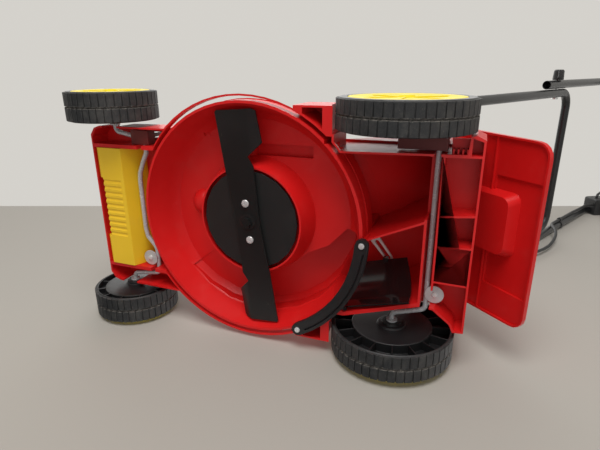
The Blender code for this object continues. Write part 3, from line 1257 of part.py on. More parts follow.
def main():
    global parts, tools, root
    clear_scene()
    parts = new_collection("Electric lawn mower")
    tools = new_collection("Cutters")
    root = bpy.data.objects.new("mower", None)
    parts.objects.link(root)

    red = paint("Red deck plastic", (0.62, 0.012, 0.010), 0.35)
    dull_red = paint("Dull red lever plastic", (0.22, 0.030, 0.025), 0.55)
    yellow = paint("Ochre grip plastic", (0.72, 0.42, 0.02), 0.40)
    cap_yellow = paint("Yellow cap plastic", (0.80, 0.62, 0.01), 0.35)
    black = paint("Black satin tube", (0.012, 0.012, 0.013), 0.35)
    plastic = paint("Charcoal plastic", (0.020, 0.020, 0.021), 0.50)
    gloss = paint("Black gloss plastic", (0.008, 0.008, 0.009), 0.18)
    tyre = paint("Tyre", (0.030, 0.030, 0.030), 0.75)
    zinc = paint("Galvanised rod", (0.45, 0.45, 0.44), 0.38, 1.0)
    washer_paint = paint("Pale grey washer", (0.48, 0.48, 0.47), 0.5)
    screw_paint = paint("Bright screw", (0.70, 0.70, 0.69), 0.25, 1.0)
    steel = paint("Motor steel", (0.40, 0.40, 0.40), 0.35, 1.0)
    copper = paint("Winding", (0.45, 0.20, 0.08), 0.45, 1.0)
    rotor_paint = paint("Rotor steel", (0.25, 0.25, 0.26), 0.45, 1.0)
    crank_paint = paint("Grey pink plastic", (0.40, 0.33, 0.32), 0.5)
    button_paint = paint("Button yellow", (0.80, 0.62, 0.02), 0.35)
    rubber = paint("Cable rubber", (0.010, 0.010, 0.010), 0.55)

    blade_axis = axis_empty("blade_axis", (0, 0, 0), root)
    front_axis = axis_empty("front_axle_axis", (0, *FRONT_PIVOT), root)
    rear_axis = axis_empty("rear_axle_axis", (0, *REAR_PIVOT), root)
    mulch_axis = axis_empty("mulch_flap_axis", (*MULCH_PIVOT, 0), root)
    crank_axis = axis_empty("mulch_crank_axis", (*CRANK_PIVOT, 0), root)
    flap_axis = axis_empty("rear_flap_axis", (0, *FLAP_PIVOT), root)
    lower_axis = axis_empty("lower_handle_axis", (0, *ARM_PIVOT), root)
    fold = arm_point(UPPER_BOLT)
    upper_axis = axis_empty("upper_handle_axis", fold, lower_axis)
    knob_axes = {word: axis_empty("wing_knob_axis_" + word, (side * UPPER_X, *fold.yz), lower_axis)
                 for side, word in ((1, "left"), (-1, "right"))}
    bail_axis = axis_empty("bail_axis", grip_point(0, 0.040), upper_axis)
    button_axis = axis_empty("start_button_axis", grip_point(-0.200, 0.054), upper_axis)

    make_deck(red)
    make_front_grip(yellow)
    make_chute_bar(plastic, screw_paint)
    make_motor(plastic, steel, copper)
    make_cutting_set(steel, plastic, screw_paint, rotor_paint, blade_axis)
    make_front_axle(zinc, front_axis)
    make_rear_axle(zinc, rear_axis)
    make_washers(washer_paint, screw_paint)
    make_height_levers(dull_red, steel, front_axis, rear_axis)
    front_profile = wheel_profile(
        FRONT_R, FRONT_W, FRONT_HUB_W, 0.016,
        [(0.016, -0.041), (0.055, -0.041), (0.066, -0.034), (0.066, 0.0)],
        [(0.067, -0.038), (0.058, -0.046), (0.016, -0.046)])
    rear_profile = wheel_profile(
        REAR_R, REAR_W, REAR_HUB_W, 0.016,
        [(0.016, -0.026), (0.084, -0.026), (0.084, 0.0)],
        [(0.089, -0.030), (0.016, -0.030)])
    for side, word in ((1, "left"), (-1, "right")):
        front_spin = axis_empty("front_%s_wheel_axis" % word, (side * FRONT_FACE, *FRONT_HUB), front_axis)
        rear_spin = axis_empty("rear_%s_wheel_axis" % word, (side * REAR_FACE, *REAR_HUB), rear_axis)
        make_wheel("front_" + word, side, FRONT_FACE, FRONT_HUB, front_profile, 0.0657, tyre,
                   cap_yellow, front_spin)
        make_wheel("rear_" + word, side, REAR_FACE, REAR_HUB, rear_profile, 0.0837, tyre,
                   cap_yellow, rear_spin)
    make_mulch_flap(gloss, mulch_axis)
    make_mulch_crank(crank_paint, plastic, crank_axis)
    make_rear_flap(red, flap_axis)
    make_flap_spring(steel, zinc, flap_axis)
    make_handles(black, screw_paint, plastic, lower_axis, upper_axis, knob_axes)
    make_controls(plastic, washer_paint, button_paint, plastic, zinc, upper_axis, bail_axis, button_axis)
    make_cables(rubber, plastic, lower_axis, upper_axis)

    nose = FRONT_HUB[0] - FRONT_R
    tail = grip_point(0, GRIP_LENGTH).y + HOOK_R
    root.location = (0.0, -(nose + tail) / 2, 0.0)
    bpy.context.view_layer.update()


main()
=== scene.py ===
# Looks of the electric lawn mower: finishes, tyres, tubes, leads and the studio.
# Metres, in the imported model's frame: +X is the mower's left, +Y its rear, +Z up.

import math

import bpy
import bmesh
from mathutils import Matrix, Vector


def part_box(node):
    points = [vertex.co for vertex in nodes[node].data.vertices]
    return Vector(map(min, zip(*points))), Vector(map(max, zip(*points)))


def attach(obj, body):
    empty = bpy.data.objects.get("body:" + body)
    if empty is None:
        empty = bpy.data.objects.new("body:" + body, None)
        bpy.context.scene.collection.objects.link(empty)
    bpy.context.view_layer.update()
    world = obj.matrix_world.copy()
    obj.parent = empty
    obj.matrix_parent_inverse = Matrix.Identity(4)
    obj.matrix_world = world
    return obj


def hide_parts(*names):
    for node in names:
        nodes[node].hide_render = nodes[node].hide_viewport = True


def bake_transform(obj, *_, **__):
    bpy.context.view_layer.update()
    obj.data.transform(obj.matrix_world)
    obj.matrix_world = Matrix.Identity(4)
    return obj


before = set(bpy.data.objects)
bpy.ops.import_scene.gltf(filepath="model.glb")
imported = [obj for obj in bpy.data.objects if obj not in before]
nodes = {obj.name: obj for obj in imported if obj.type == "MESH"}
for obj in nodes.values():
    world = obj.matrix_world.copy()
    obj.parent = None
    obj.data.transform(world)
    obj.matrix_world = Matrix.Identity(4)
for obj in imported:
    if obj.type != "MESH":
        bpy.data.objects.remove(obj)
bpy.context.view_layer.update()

# The blade axis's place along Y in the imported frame.
BLADE_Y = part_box("blade_bolt")[0].y / 2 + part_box("blade_bolt")[1].y / 2


def from_blade(x, y, z):
    """A point given from the ground under the blade's axis."""
    return Vector((x, y + BLADE_Y, z))


# Camera, fitted to the photograph

def photo_camera():
    lens = bpy.data.cameras.new("photo_camera")
    lens.sensor_width = 36.0
    lens.lens = 27.30
    lens.clip_start = 0.02
    camera = bpy.data.objects.new("photo_camera", lens)
    bpy.context.scene.collection.objects.link(camera)
    place = from_blade(0.24127, 0.34441, -0.57740)
    right = Vector((-0.00561, 0.93291, 0.36006)).normalized()
    down = Vector((-0.94650, 0.11123, -0.30294)).normalized()
    forward = right.cross(down).normalized()
    down = forward.cross(right)
    turn = Matrix((right, -down, -forward)).transposed().to_4x4()
    camera.matrix_world = Matrix.Translation(place) @ turn
    bpy.context.scene.camera = camera


photo_camera()


# Shader maths

class Wire:
    """A socket's value. Arithmetic on it adds Math nodes."""

    def __init__(self, tree, socket):
        self.tree = tree
        self.socket = socket

    def maths(self, operation, *others):
        made = self.tree.nodes.new("ShaderNodeMath")
        made.operation = operation
        for place, value in zip(made.inputs, others):
            if isinstance(value, Wire):
                self.tree.links.new(value.socket, place)
            else:
                place.default_value = value
        return Wire(self.tree, made.outputs[0])

    def __add__(self, other):
        return self.maths("ADD", self, other)

    def __radd__(self, other):
        return self.maths("ADD", other, self)

    def __sub__(self, other):
        return self.maths("SUBTRACT", self, other)

    def __rsub__(self, other):
        return self.maths("SUBTRACT", other, self)

    def __mul__(self, other):
        return self.maths("MULTIPLY", self, other)

    def __abs__(self):
        return self.maths("ABSOLUTE", self)


class Finish:
    """A Principled material whose patterns follow Object coordinates."""

    def __init__(self, name, roughness, metallic=0.0, coat=0.0):
        self.material = bpy.data.materials.new(name)
        self.material.use_nodes = True
        self.tree = self.material.node_tree
        self.shader = self.tree.nodes["Principled BSDF"]
        self.shader.inputs["Roughness"].default_value = roughness
        self.shader.inputs["Metallic"].default_value = metallic
        self.shader.inputs["Coat Weight"].default_value = coat
        self.shader.inputs["Coat Roughness"].default_value = 0.15
        self.place = self.node("ShaderNodeTexCoord").outputs["Object"]

    def node(self, kind, settings=None, sockets=None):
        made = self.tree.nodes.new(kind)
        for name, value in (settings or {}).items():
            setattr(made, name, value)
        for name, value in (sockets or {}).items():
            self.feed(made.inputs[name], value)
        return made

    def feed(self, socket, value):
        if isinstance(value, Wire):
            value = value.socket
        if isinstance(value, bpy.types.NodeSocket):
            self.tree.links.new(value, socket)
        else:
            socket.default_value = value

    def wire(self, socket):
        return Wire(self.tree, socket)

    def stretched(self, scale):
        made = self.node("ShaderNodeMapping", None, {"Vector": self.place, "Scale": scale})
        return made.outputs[0]

    def noise(self, scale, detail=3.0, rough=0.5, place=None):
        made = self.node("ShaderNodeTexNoise", None, {
            "Vector": self.place if place is None else place, "Scale": scale, "Detail": detail,
            "Roughness": rough})
        return self.wire(made.outputs["Fac"])

    def between(self, value, low, high):
        """0 below low, 1 above high and a smooth step between them."""
        made = self.node("ShaderNodeMapRange", {"interpolation_type": "SMOOTHSTEP"}, {
            "Value": value, "From Min": low, "From Max": high})
        return self.wire(made.outputs["Result"])

    def mixed(self, factor, first, second):
        made = self.node("ShaderNodeMix", {"data_type": "RGBA"}, {0: factor, 6: first, 7: second})
        return made.outputs[2]

    def paint(self, colour):
        self.feed(self.shader.inputs["Base Color"], colour)

    def rough(self, value):
        self.feed(self.shader.inputs["Roughness"], value)

    def bump(self, height, strength, distance=0.0002):
        made = self.node("ShaderNodeBump", None, {
            "Height": height, "Strength": strength, "Distance": distance})
        self.feed(self.shader.inputs["Normal"], made.outputs[0])


def tint(colour, by=1.0):
    return (colour[0] * by, colour[1] * by, colour[2] * by, 1.0)


DUST = (0.30, 0.25, 0.19, 1.0)


def moulded(name, colour, roughness, grain=0.05, dust=0.12, coat=0.0, gloss=0.5):
    """Moulded plastic: a fine spark-eroded grain, faint flow marks and a film of dust."""
    made = Finish(name, roughness, coat=coat)
    made.shader.inputs["Specular IOR Level"].default_value = gloss
    flow = made.noise(7.0, 4.0, 0.6)
    film = made.between(made.noise(21.0, 8.0, 0.7), 0.50, 0.78) * made.between(flow, 0.35, 0.65)
    specks = made.between(made.noise(420.0, 2.0, 0.5), 0.70, 0.80)
    shade = made.mixed(flow, tint(colour, 0.88), tint(colour, 1.08))
    worn = made.mixed(film * dust + specks * (dust * 0.5), shade, DUST)
    made.paint(worn)
    made.rough(roughness + film * 0.22 + (made.noise(90.0, 3.0) - 0.5) * 0.10)
    scuffs = made.between(made.noise(60.0, 2.0, 0.6, made.stretched((1.0, 9.0, 4.0))), 0.66, 0.72)
    made.bump(made.noise(1500.0, 2.0) + scuffs * 0.6, grain)
    return made


def rubbed(name, colour, roughness, metallic, bare, coat=0.0):
    """Powder coat or dark steel with small rubbed places."""
    made = Finish(name, roughness, metallic, coat)
    cloud = made.noise(18.0, 5.0, 0.6)
    rubs = made.between(made.noise(46.0, 6.0, 0.75), 0.64, 0.72) * made.between(cloud, 0.45, 0.60)
    shade = made.mixed(cloud, tint(colour, 0.8), tint(colour, 1.25))
    made.paint(made.mixed(rubs * 0.7, shade, tint(bare)))
    made.rough(roughness + rubs * 0.12 + (made.noise(160.0, 2.0) - 0.5) * 0.12)
    made.bump(made.noise(900.0, 3.0) + cloud * 0.4, 0.07)
    return made


def bright_metal(name, colour, roughness, stretch, spots=0.0, metallic=1.0):
    """Drawn, plated or galvanised steel with fine lines and a few dull spots."""
    made = Finish(name, roughness, metallic)
    lines = made.noise(260.0, 3.0, 0.6, made.stretched(stretch))
    bloom = made.between(made.noise(70.0, 5.0, 0.7), 0.52, 0.70)
    shade = made.mixed(lines, tint(colour, 0.75), tint(colour, 1.15))
    made.paint(made.mixed(bloom * spots, shade, (0.30, 0.28, 0.25, 1.0)))
    made.rough(roughness + bloom * (0.15 + spots * 0.2) + (lines - 0.5) * 0.12)
    made.bump(lines, 0.06)
    return made


def tyre_finish(name, hub, radius, middle):
    """Hard black wheel plastic, dusty on the tread and dustiest along its centre groove."""
    made = Finish(name, 0.60)
    split = made.node("ShaderNodeSeparateXYZ", None, {"Vector": made.place})
    across = abs(abs(made.wire(split.outputs["X"])) - middle)
    flat = made.node("ShaderNodeVectorMath", {"operation": "MULTIPLY"}, {
        0: made.place, 1: (0.0, 1.0, 1.0)})
    spoke = made.node("ShaderNodeVectorMath", {"operation": "DISTANCE"}, {
        0: flat.outputs[0], 1: (0.0, hub.y, hub.z)})
    reach = made.wire(spoke.outputs["Value"])
    tread = made.between(reach, radius - 0.0060, radius - 0.0020)
    groove = (1.0 - made.between(across, 0.0008, 0.0030)) * tread
    grit = made.between(made.noise(330.0, 6.0, 0.8), 0.46, 0.66)
    specks = made.between(made.noise(520.0, 2.0, 0.5), 0.70, 0.76)
    cloud = made.between(made.noise(38.0, 5.0, 0.7), 0.44, 0.70)
    dust = groove * (grit * 0.60 + 0.16) + tread * (cloud * 0.07 + grit * 0.05 + specks * 0.35)
    shade = made.mixed(tread, (0.0080, 0.0080, 0.0085, 1.0), (0.0200, 0.0205, 0.0210, 1.0))
    made.paint(made.mixed(dust, shade, (0.36, 0.32, 0.27, 1.0)))
    made.rough(0.42 + tread * 0.25 + dust * 0.2 + (made.noise(120.0, 3.0) - 0.5) * 0.10)
    made.bump(made.noise(700.0, 4.0, 0.7) + grit * 0.5, 0.18)
    return made


def winding_finish():
    """Varnished copper turns."""
    made = Finish("copper_winding", 0.32, 1.0, 0.4)
    turns = made.node("ShaderNodeTexWave", {"bands_direction": "Z"}, {
        "Vector": made.place, "Scale": 160.0, "Distortion": 1.2, "Detail": 2.0})
    wave = made.wire(turns.outputs["Fac"])
    made.paint(made.mixed(wave, (0.20, 0.07, 0.02, 1.0), (0.62, 0.27, 0.10, 1.0)))
    made.rough(0.30 + wave * 0.15)
    made.bump(wave, 0.5, 0.0004)
    return made


def lead_finish():
    """Black rubber lead: a slight gloss and thumb marks."""
    made = Finish("lead_rubber", 0.5)
    cloud = made.noise(60.0, 4.0, 0.6)
    made.paint(made.mixed(made.between(cloud, 0.35, 0.70), (0.008, 0.008, 0.009, 1.0),
                          (0.024, 0.023, 0.022, 1.0)))
    made.rough(0.42 + cloud * 0.22)
    made.bump(made.noise(1300.0, 2.0), 0.10)
    return made


red = moulded("red_deck_plastic", (0.620, 0.010, 0.010), 0.38, 0.05, 0.05, gloss=0.28)
flap_red = moulded("red_flap_plastic", (0.590, 0.009, 0.009), 0.34, 0.04, 0.04, gloss=0.32)
lever_red = moulded("dull_red_lever_plastic", (0.130, 0.014, 0.012), 0.50, 0.08, 0.20)
ochre = moulded("ochre_grip_plastic", (0.840, 0.520, 0.018), 0.42, 0.05, 0.04, gloss=0.35)
cap_yellow = moulded("yellow_cap_plastic", (0.780, 0.610, 0.006), 0.48, 0.04, 0.04, gloss=0.25)
button_yellow = moulded("yellow_button_plastic", (0.820, 0.600, 0.02), 0.30, 0.03, 0.03, 0.15)
charcoal = moulded("charcoal_plastic", (0.0135, 0.0135, 0.0140), 0.44, 0.14, 0.035)
cowl_black = moulded("cowl_plastic", (0.018, 0.018, 0.019), 0.50, 0.22, 0.05)
fan_black = moulded("fan_disc_plastic", (0.0140, 0.0145, 0.0140), 0.46, 0.08, 0.03)
gloss_black = moulded("gloss_black_panel", (0.006, 0.005, 0.005), 0.10, 0.01, 0.02, 0.6)
arm_grey = moulded("grey_pink_arm_plastic", (0.520, 0.400, 0.390), 0.40, 0.05, 0.06)
fitting_grey = moulded("pale_grey_fitting_plastic", (0.400, 0.400, 0.395), 0.48, 0.08, 0.08)
tube_black = rubbed("black_tube_coat", (0.0075, 0.0078, 0.0085), 0.34, 0.0,
                    (0.035, 0.035, 0.035), 0.08)
blade_black = rubbed("blade_black_coat", (0.016, 0.0165, 0.016), 0.36, 0.35,
                     (0.14, 0.13, 0.12), 0.10)
zinc = bright_metal("galvanised_rod", (0.58, 0.60, 0.61), 0.26, (1.0, 14.0, 14.0), 0.10, 0.35)
washer_zinc = bright_metal("galvanised_washer", (0.64, 0.64, 0.64), 0.38, (6.0, 6.0, 1.0), 0.20, 0.45)
bright = bright_metal("bright_screw", (0.86, 0.86, 0.85), 0.24, (3.0, 3.0, 3.0), 0.05, 0.55)
motor_steel = bright_metal("motor_steel", (0.50, 0.50, 0.50), 0.32, (9.0, 9.0, 1.0), 0.15)
rotor_steel = bright_metal("rotor_laminations", (0.28, 0.28, 0.29), 0.42, (1.0, 1.0, 16.0), 0.15)
copper = winding_finish()
rubber = lead_finish()


# Mesh helpers

EDGE_ANGLE = math.radians(32.0)
SHARP_ANGLE = math.radians(35.0)


def soften(thing, width, segments):
    """A small moulded radius on every sharp edge, with normals led by the large faces."""
    if width > 0:
        edge = thing.modifiers.new("moulded_edge", "BEVEL")
        edge.limit_method = "ANGLE"
        edge.angle_limit = EDGE_ANGLE
        edge.width = width
        edge.segments = segments
        edge.miter_outer = "MITER_ARC"
    lead = thing.modifiers.new("led_normals", "WEIGHTED_NORMAL")
    lead.keep_sharp = True


def dress(names, finish, width=0.0004, segments=2):
    """A CAD node keeps its shape: it gets a finish and a small edge radius."""
    for name in [names] if isinstance(names, str) else names:
        thing = nodes[name]
        thing.data.materials.clear()
        thing.data.materials.append(finish.material)
        thing.data.shade_smooth()
        weld = thing.modifiers.new("one_skin", "WELD")
        weld.merge_threshold = 0.00001
        plan = thing.modifiers.new("flat_faces", "DECIMATE")
        plan.decimate_type = "DISSOLVE"
        plan.angle_limit = math.radians(0.4)
        soften(thing, width, segments)


def piece(name, bm, finish, body, stands_for=(), width=0.0, segments=2):
    """Finish a bmesh as an object at the origin that rides on a body, if one is named."""
    mesh = bpy.data.meshes.new(name)
    bm.to_mesh(mesh)
    bm.free()
    mesh.materials.append(finish.material)
    mesh.shade_smooth()
    mesh.set_sharp_from_angle(angle=SHARP_ANGLE)
    thing = bpy.data.objects.new(name, mesh)
    bpy.context.scene.collection.objects.link(thing)
    if width > 0:
        soften(thing, width, segments)
    if body is not None:
        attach(thing, body)
    if stands_for:
        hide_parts(*stands_for)
    return thing


def spun(bm, profile, steps, ring=False):
    """Turn a profile of (radius, height) about Z."""
    verts = [bm.verts.new((r, 0.0, z)) for r, z in profile]
    edges = [bm.edges.new(pair) for pair in zip(verts, verts[1:] + (verts[:1] if ring else []))]
    bmesh.ops.spin(bm, geom=verts + edges, cent=(0, 0, 0), axis=(0, 0, 1),
                   angle=math.tau, steps=steps, use_merge=True)
    bmesh.ops.remove_doubles(bm, verts=bm.verts, dist=0.000005)
    bmesh.ops.recalc_face_normals(bm, faces=bm.faces)
    return bm


def block(bm, low, high, turn):
    """A box between two corners, moved by a matrix."""
    size = [b - a for a, b in zip(low, high)]
    middle = [(a + b) / 2 for a, b in zip(low, high)]
    place = Matrix.Translation(middle) @ Matrix.Diagonal((*size, 1.0))
    return bmesh.ops.create_cube(bm, size=1.0, matrix=turn @ place)["verts"]


def rod(bm, start, end, radius, sides):
    """A closed cylinder between two points."""
    run = end - start
    turn = run.to_track_quat("Z", "Y").to_matrix().to_4x4()
    bmesh.ops.create_cone(bm, cap_ends=True, segments=sides, radius1=radius, radius2=radius,
                          depth=run.length, matrix=Matrix.Translation((start + end) / 2) @ turn)


def rounded_path(points, radius, steps=8):
    """Round each inner corner of a polyline."""
    points = [Vector(p) for p in points]
    made = [points[0]]
    for before, corner, after in zip(points, points[1:], points[2:]):
        a, b = (before - corner).normalized(), (after - corner).normalized()
        half = a.angle(b) / 2
        back = min(radius / math.tan(half), (before - corner).length * 0.49,
                   (after - corner).length * 0.49)
        reach = back * math.tan(half)
        centre = corner + (a + b).normalized() * (reach / math.sin(half))
        start, end = corner + a * back - centre, corner + b * back - centre
        for i in range(steps + 1):
            made.append(centre + start.normalized().slerp(end.normalized(), i / steps) * reach)
    return made + [points[-1]]


def smooth_path(points, spacing):
    """Points at an even spacing on a Catmull-Rom curve."""
    points = [Vector(p) for p in points]
    padded = [points[0] * 2 - points[1]] + points + [points[-1] * 2 - points[-2]]
    fine = []
    for a, b, c, d in zip(padded, padded[1:], padded[2:], padded[3:]):
        for i in range(20):
            t = i / 20
            fine.append(0.5 * (2 * b + (c - a) * t + (2 * a - 5 * b + 4 * c - d) * t * t
                               + (3 * b - a - 3 * c + d) * t ** 3))
    fine.append(points[-1])
    length = sum((b - a).length for a, b in zip(fine, fine[1:]))
    count = max(2, round(length / spacing))
    made, walked, target = [fine[0]], 0.0, length / count
    for a, b in zip(fine, fine[1:]):
        step = (b - a).length
        while walked + step >= target - 1e-9 and len(made) < count:
            made.append(a.lerp(b, (target - walked) / step))
            target += length / count
        walked += step
    return made + [fine[-1]]


def hollow_end(bm, face, wall, depth):
    """Sink a tube's end face so that its wall shows."""
    way = -face.normal.copy()
    bmesh.ops.inset_region(bm, faces=[face], thickness=wall, use_even_offset=True)
    grown = bmesh.ops.extrude_face_region(bm, geom=[face])["geom"]
    bmesh.ops.delete(bm, geom=[face], context="FACES")
    bmesh.ops.translate(bm, vec=way * depth,
                        verts=[g for g in grown if isinstance(g, bmesh.types.BMVert)])


def swept(bm, path, radius, sides=24, wall=0.0):
    """A closed round tube along a path, grown ring by ring."""
    runs = [(b - a).normalized() for a, b in zip(path, path[1:])]
    ways = [runs[0]] + [(a + b).normalized() for a, b in zip(runs, runs[1:])] + [runs[-1]]
    turn = ways[0].to_track_quat("Z", "Y")
    here = Matrix.Translation(path[0]) @ turn.to_matrix().to_4x4()
    ring = bmesh.ops.create_circle(bm, segments=sides, radius=radius, cap_ends=False,
                                   matrix=here)["verts"]
    first = list(ring)
    edges = list({e for v in ring for e in v.link_edges})
    for spot, before, way in zip(path[1:], ways, ways[1:]):
        turn = before.rotation_difference(way) @ turn
        there = Matrix.Translation(spot) @ turn.to_matrix().to_4x4()
        grown = bmesh.ops.extrude_edge_only(bm, edges=edges)["geom"]
        ring = [g for g in grown if isinstance(g, bmesh.types.BMVert)]
        edges = [g for g in grown if isinstance(g, bmesh.types.BMEdge)]
        bmesh.ops.transform(bm, matrix=there @ here.inverted(), verts=ring)
        here = there
    rim = list({e for v in first for e in v.link_edges if e.is_boundary})
    ends = [f for loop in (rim, edges) for f in bmesh.ops.contextual_create(bm, geom=loop)["faces"]]
    bmesh.ops.recalc_face_normals(bm, faces=bm.faces)
    if wall > 0:
        for face in ends:
            hollow_end(bm, face, wall, TUBE_DEPTH)
    return bm


# Wheels and caps

STUB_R = 0.0060
GAP = 0.0003
FRONT_HUB_Y, FRONT_RADIUS, FRONT_FACE, FRONT_WIDTH = -0.263, 0.077, 0.2095, 0.050
REAR_HUB_Y, REAR_RADIUS, REAR_FACE, REAR_WIDTH = 0.2445, 0.100, 0.2055, 0.047
LUG_DEPTH = 0.0020
LUG_SLANT = 0.0016
JOINT_HALF = 0.0008
RIB_HALF = 0.0009


def wheel_matrix(side, face, hub):
    """From a wheel's own frame, with Z out of its outer face, to the mower's."""
    place = Matrix.Translation(Vector((side * face, hub.y, hub.z)))
    return place @ Matrix.Rotation(side * math.pi / 2, 4, "Y")


def lug_row(bm, count, radius, side_end, middle_end, shift):
    """One row of tread blocks, whose ends along the middle joint are cut at a slant."""
    pitch = math.tau / count
    length = radius * pitch * 0.86
    slant = LUG_SLANT if middle_end < side_end else -LUG_SLANT
    for i in range(count):
        turn = Matrix.Rotation(pitch * (i + shift), 4, "Z")
        verts = block(bm, (radius - LUG_DEPTH - 0.0015, -length / 2, min(side_end, middle_end)),
                      (radius, length / 2, max(side_end, middle_end)), turn)
        back = turn.inverted()
        heel = [v for v in verts
                if abs(v.co.z - middle_end) < 0.0001 and (back @ v.co).y * slant > 0]
        bmesh.ops.translate(bm, vec=(0.0, 0.0, slant), verts=heel)


def wheel(label, side, face, hub, radius, width, outer, inner, hub_width, lugs, ribs, finish):
    """A spun wheel with two rows of tread blocks and a ring of ribs inside."""
    base = radius - LUG_DEPTH
    joint = (-width / 2 + JOINT_HALF, -width / 2 - JOINT_HALF)
    profile = [(0.016, -0.006)] + outer + [
        (base - 0.003, 0.0), (base, -0.0025), (base, joint[0]), (base - 0.002, joint[0]),
        (base - 0.002, joint[1]), (base, joint[1]), (base, -width + 0.0025),
        (base - 0.003, -width), (radius - 0.0060, -width)] + inner + [
        (0.016, -hub_width), (STUB_R + GAP, -hub_width), (STUB_R + GAP, -0.006)]
    bm = spun(bmesh.new(), profile, 96, ring=True)
    lug_row(bm, lugs, radius, -width + 0.0016, joint[1], 0.0)
    lug_row(bm, lugs, radius, -0.0016, joint[0], 0.5)
    for i in range(ribs["count"]):
        turn = Matrix.Rotation(math.tau * (i + 0.5) / ribs["count"], 4, "Z")
        block(bm, (ribs["near"], -RIB_HALF, ribs["top"]), (ribs["far"], RIB_HALF, ribs["floor"]), turn)
    bmesh.ops.transform(bm, matrix=wheel_matrix(side, face, hub), verts=bm.verts)
    piece(label + "_tyre", bm, finish, label + "_wheel_set", [label + "_wheel"],
          0.0004, 1)


def cap(label, side, face, hub, radius, spokes):
    """A dished cap with a raised boss and shallow ribs."""
    r = radius
    profile = [(0.0, 0.0020), (0.010, 0.0020), (0.0125, 0.0006), (0.0140, -0.0012),
               (r * 0.30, -0.0016), (r * 0.72, -0.0016), (r * 0.78, -0.0002), (r - 0.0050, 0.0004),
               (r - 0.0012, 0.0), (r, -0.0012), (r, -0.011), (r - 0.0022, -0.011),
               (r - 0.0022, -0.0036), (0.0, -0.0036)]
    bm = spun(bmesh.new(), profile, 80)
    for i in range(spokes):
        turn = Matrix.Rotation(math.tau * i / spokes, 4, "Z")
        block(bm, (0.0115, -0.0022, -0.0030), (r * 0.765, 0.0022, -0.0002), turn)
    bmesh.ops.transform(bm, matrix=wheel_matrix(side, face, hub), verts=bm.verts)
    piece(label + "_hub_cap", bm, cap_yellow, label + "_wheel_set",
          [label + "_cap"], 0.0005, 2)


def wheels():
    front_hub = from_blade(0.0, FRONT_HUB_Y, FRONT_RADIUS)
    rear_hub = from_blade(0.0, REAR_HUB_Y, REAR_RADIUS)
    front_black = tyre_finish("front_tyre_black", front_hub, FRONT_RADIUS, FRONT_FACE - FRONT_WIDTH / 2)
    rear_black = tyre_finish("rear_tyre_black", rear_hub, REAR_RADIUS, REAR_FACE - REAR_WIDTH / 2)
    front_outer = [(0.016, -0.041), (0.055, -0.041), (0.066, -0.034), (0.066, 0.0)]
    front_inner = [(0.0700, -0.039), (0.0595, -0.039), (0.0580, -0.0475), (0.0500, -0.0490),
                   (0.0200, -0.0495), (0.016, -0.0520)]
    front_ribs = {"count": 12, "near": 0.0575, "far": 0.0715, "floor": -0.0385, "top": -0.0480}
    rear_outer = [(0.016, -0.026), (0.084, -0.026), (0.084, 0.0)]
    rear_inner = [(0.0935, -0.030), (0.0670, -0.030), (0.0660, -0.0446), (0.0646, -0.0455),
                  (0.0628, -0.0446), (0.0240, -0.0446), (0.0225, -0.0470), (0.016, -0.0475)]
    rear_ribs = {"count": 16, "near": 0.0655, "far": 0.0945, "floor": -0.0295, "top": -0.0446}
    for side, word in ((1, "left"), (-1, "right")):
        wheel("front_" + word, side, FRONT_FACE, front_hub, FRONT_RADIUS, FRONT_WIDTH, front_outer,
              front_inner, 0.056, 40, front_ribs, front_black)
        wheel("rear_" + word, side, REAR_FACE, rear_hub, REAR_RADIUS, REAR_WIDTH, rear_outer,
              rear_inner, 0.050, 48, rear_ribs, rear_black)
        cap("front_" + word, side, FRONT_FACE, front_hub, 0.0657, 5)
        cap("rear_" + word, side, REAR_FACE, rear_hub, 0.0837, 6)


wheels()


# Rods, tubes and leads

ARM_PITCH = math.radians(63.4)
GRIP_PITCH = math.radians(28)
ARM_FOOT_Y, ARM_FOOT_Z = 0.268, 0.250
ARM_TOP = 0.960
ARM_X = 0.183
UPPER_X = 0.2040
TUBE_R = 0.010
TUBE_WALL = 0.0015
TUBE_DEPTH = 0.030
LEAD_R = 0.0040
LEAD_GAP = 0.0012
AXLE_R = 0.0040
COLLAR_R = 0.0090


def on_arm(along, x=0.0, out=0.0):
    """A point on the handle's straight line, with out towards the rear and below it."""
    return from_blade(x, ARM_FOOT_Y + along * math.cos(ARM_PITCH) + out * math.sin(ARM_PITCH),
                      ARM_FOOT_Z + along * math.sin(ARM_PITCH) - out * math.cos(ARM_PITCH))


def on_grip(x, along, above=0.0):
    """A point in the grip's own frame."""
    turn = Matrix.Rotation(GRIP_PITCH, 3, "X")
    return on_arm(ARM_TOP) + turn @ Vector((x, along, above))


def axle(name, points, hub, stub, collar):
    """A cranked rod that ends in a stub and a collar for each wheel."""
    route = rounded_path([from_blade(*p) for p in points], 0.009, 6)
    bm = swept(bmesh.new(), route, AXLE_R, 20)
    for side in (1, -1):
        for (start, end), radius in ((stub, STUB_R), (collar, COLLAR_R)):
            rod(bm, from_blade(side * start, *hub), from_blade(side * end, *hub), radius, 28)
    piece(name + "_rod", bm, zinc, name + "_set", [name], 0.0003, 2)


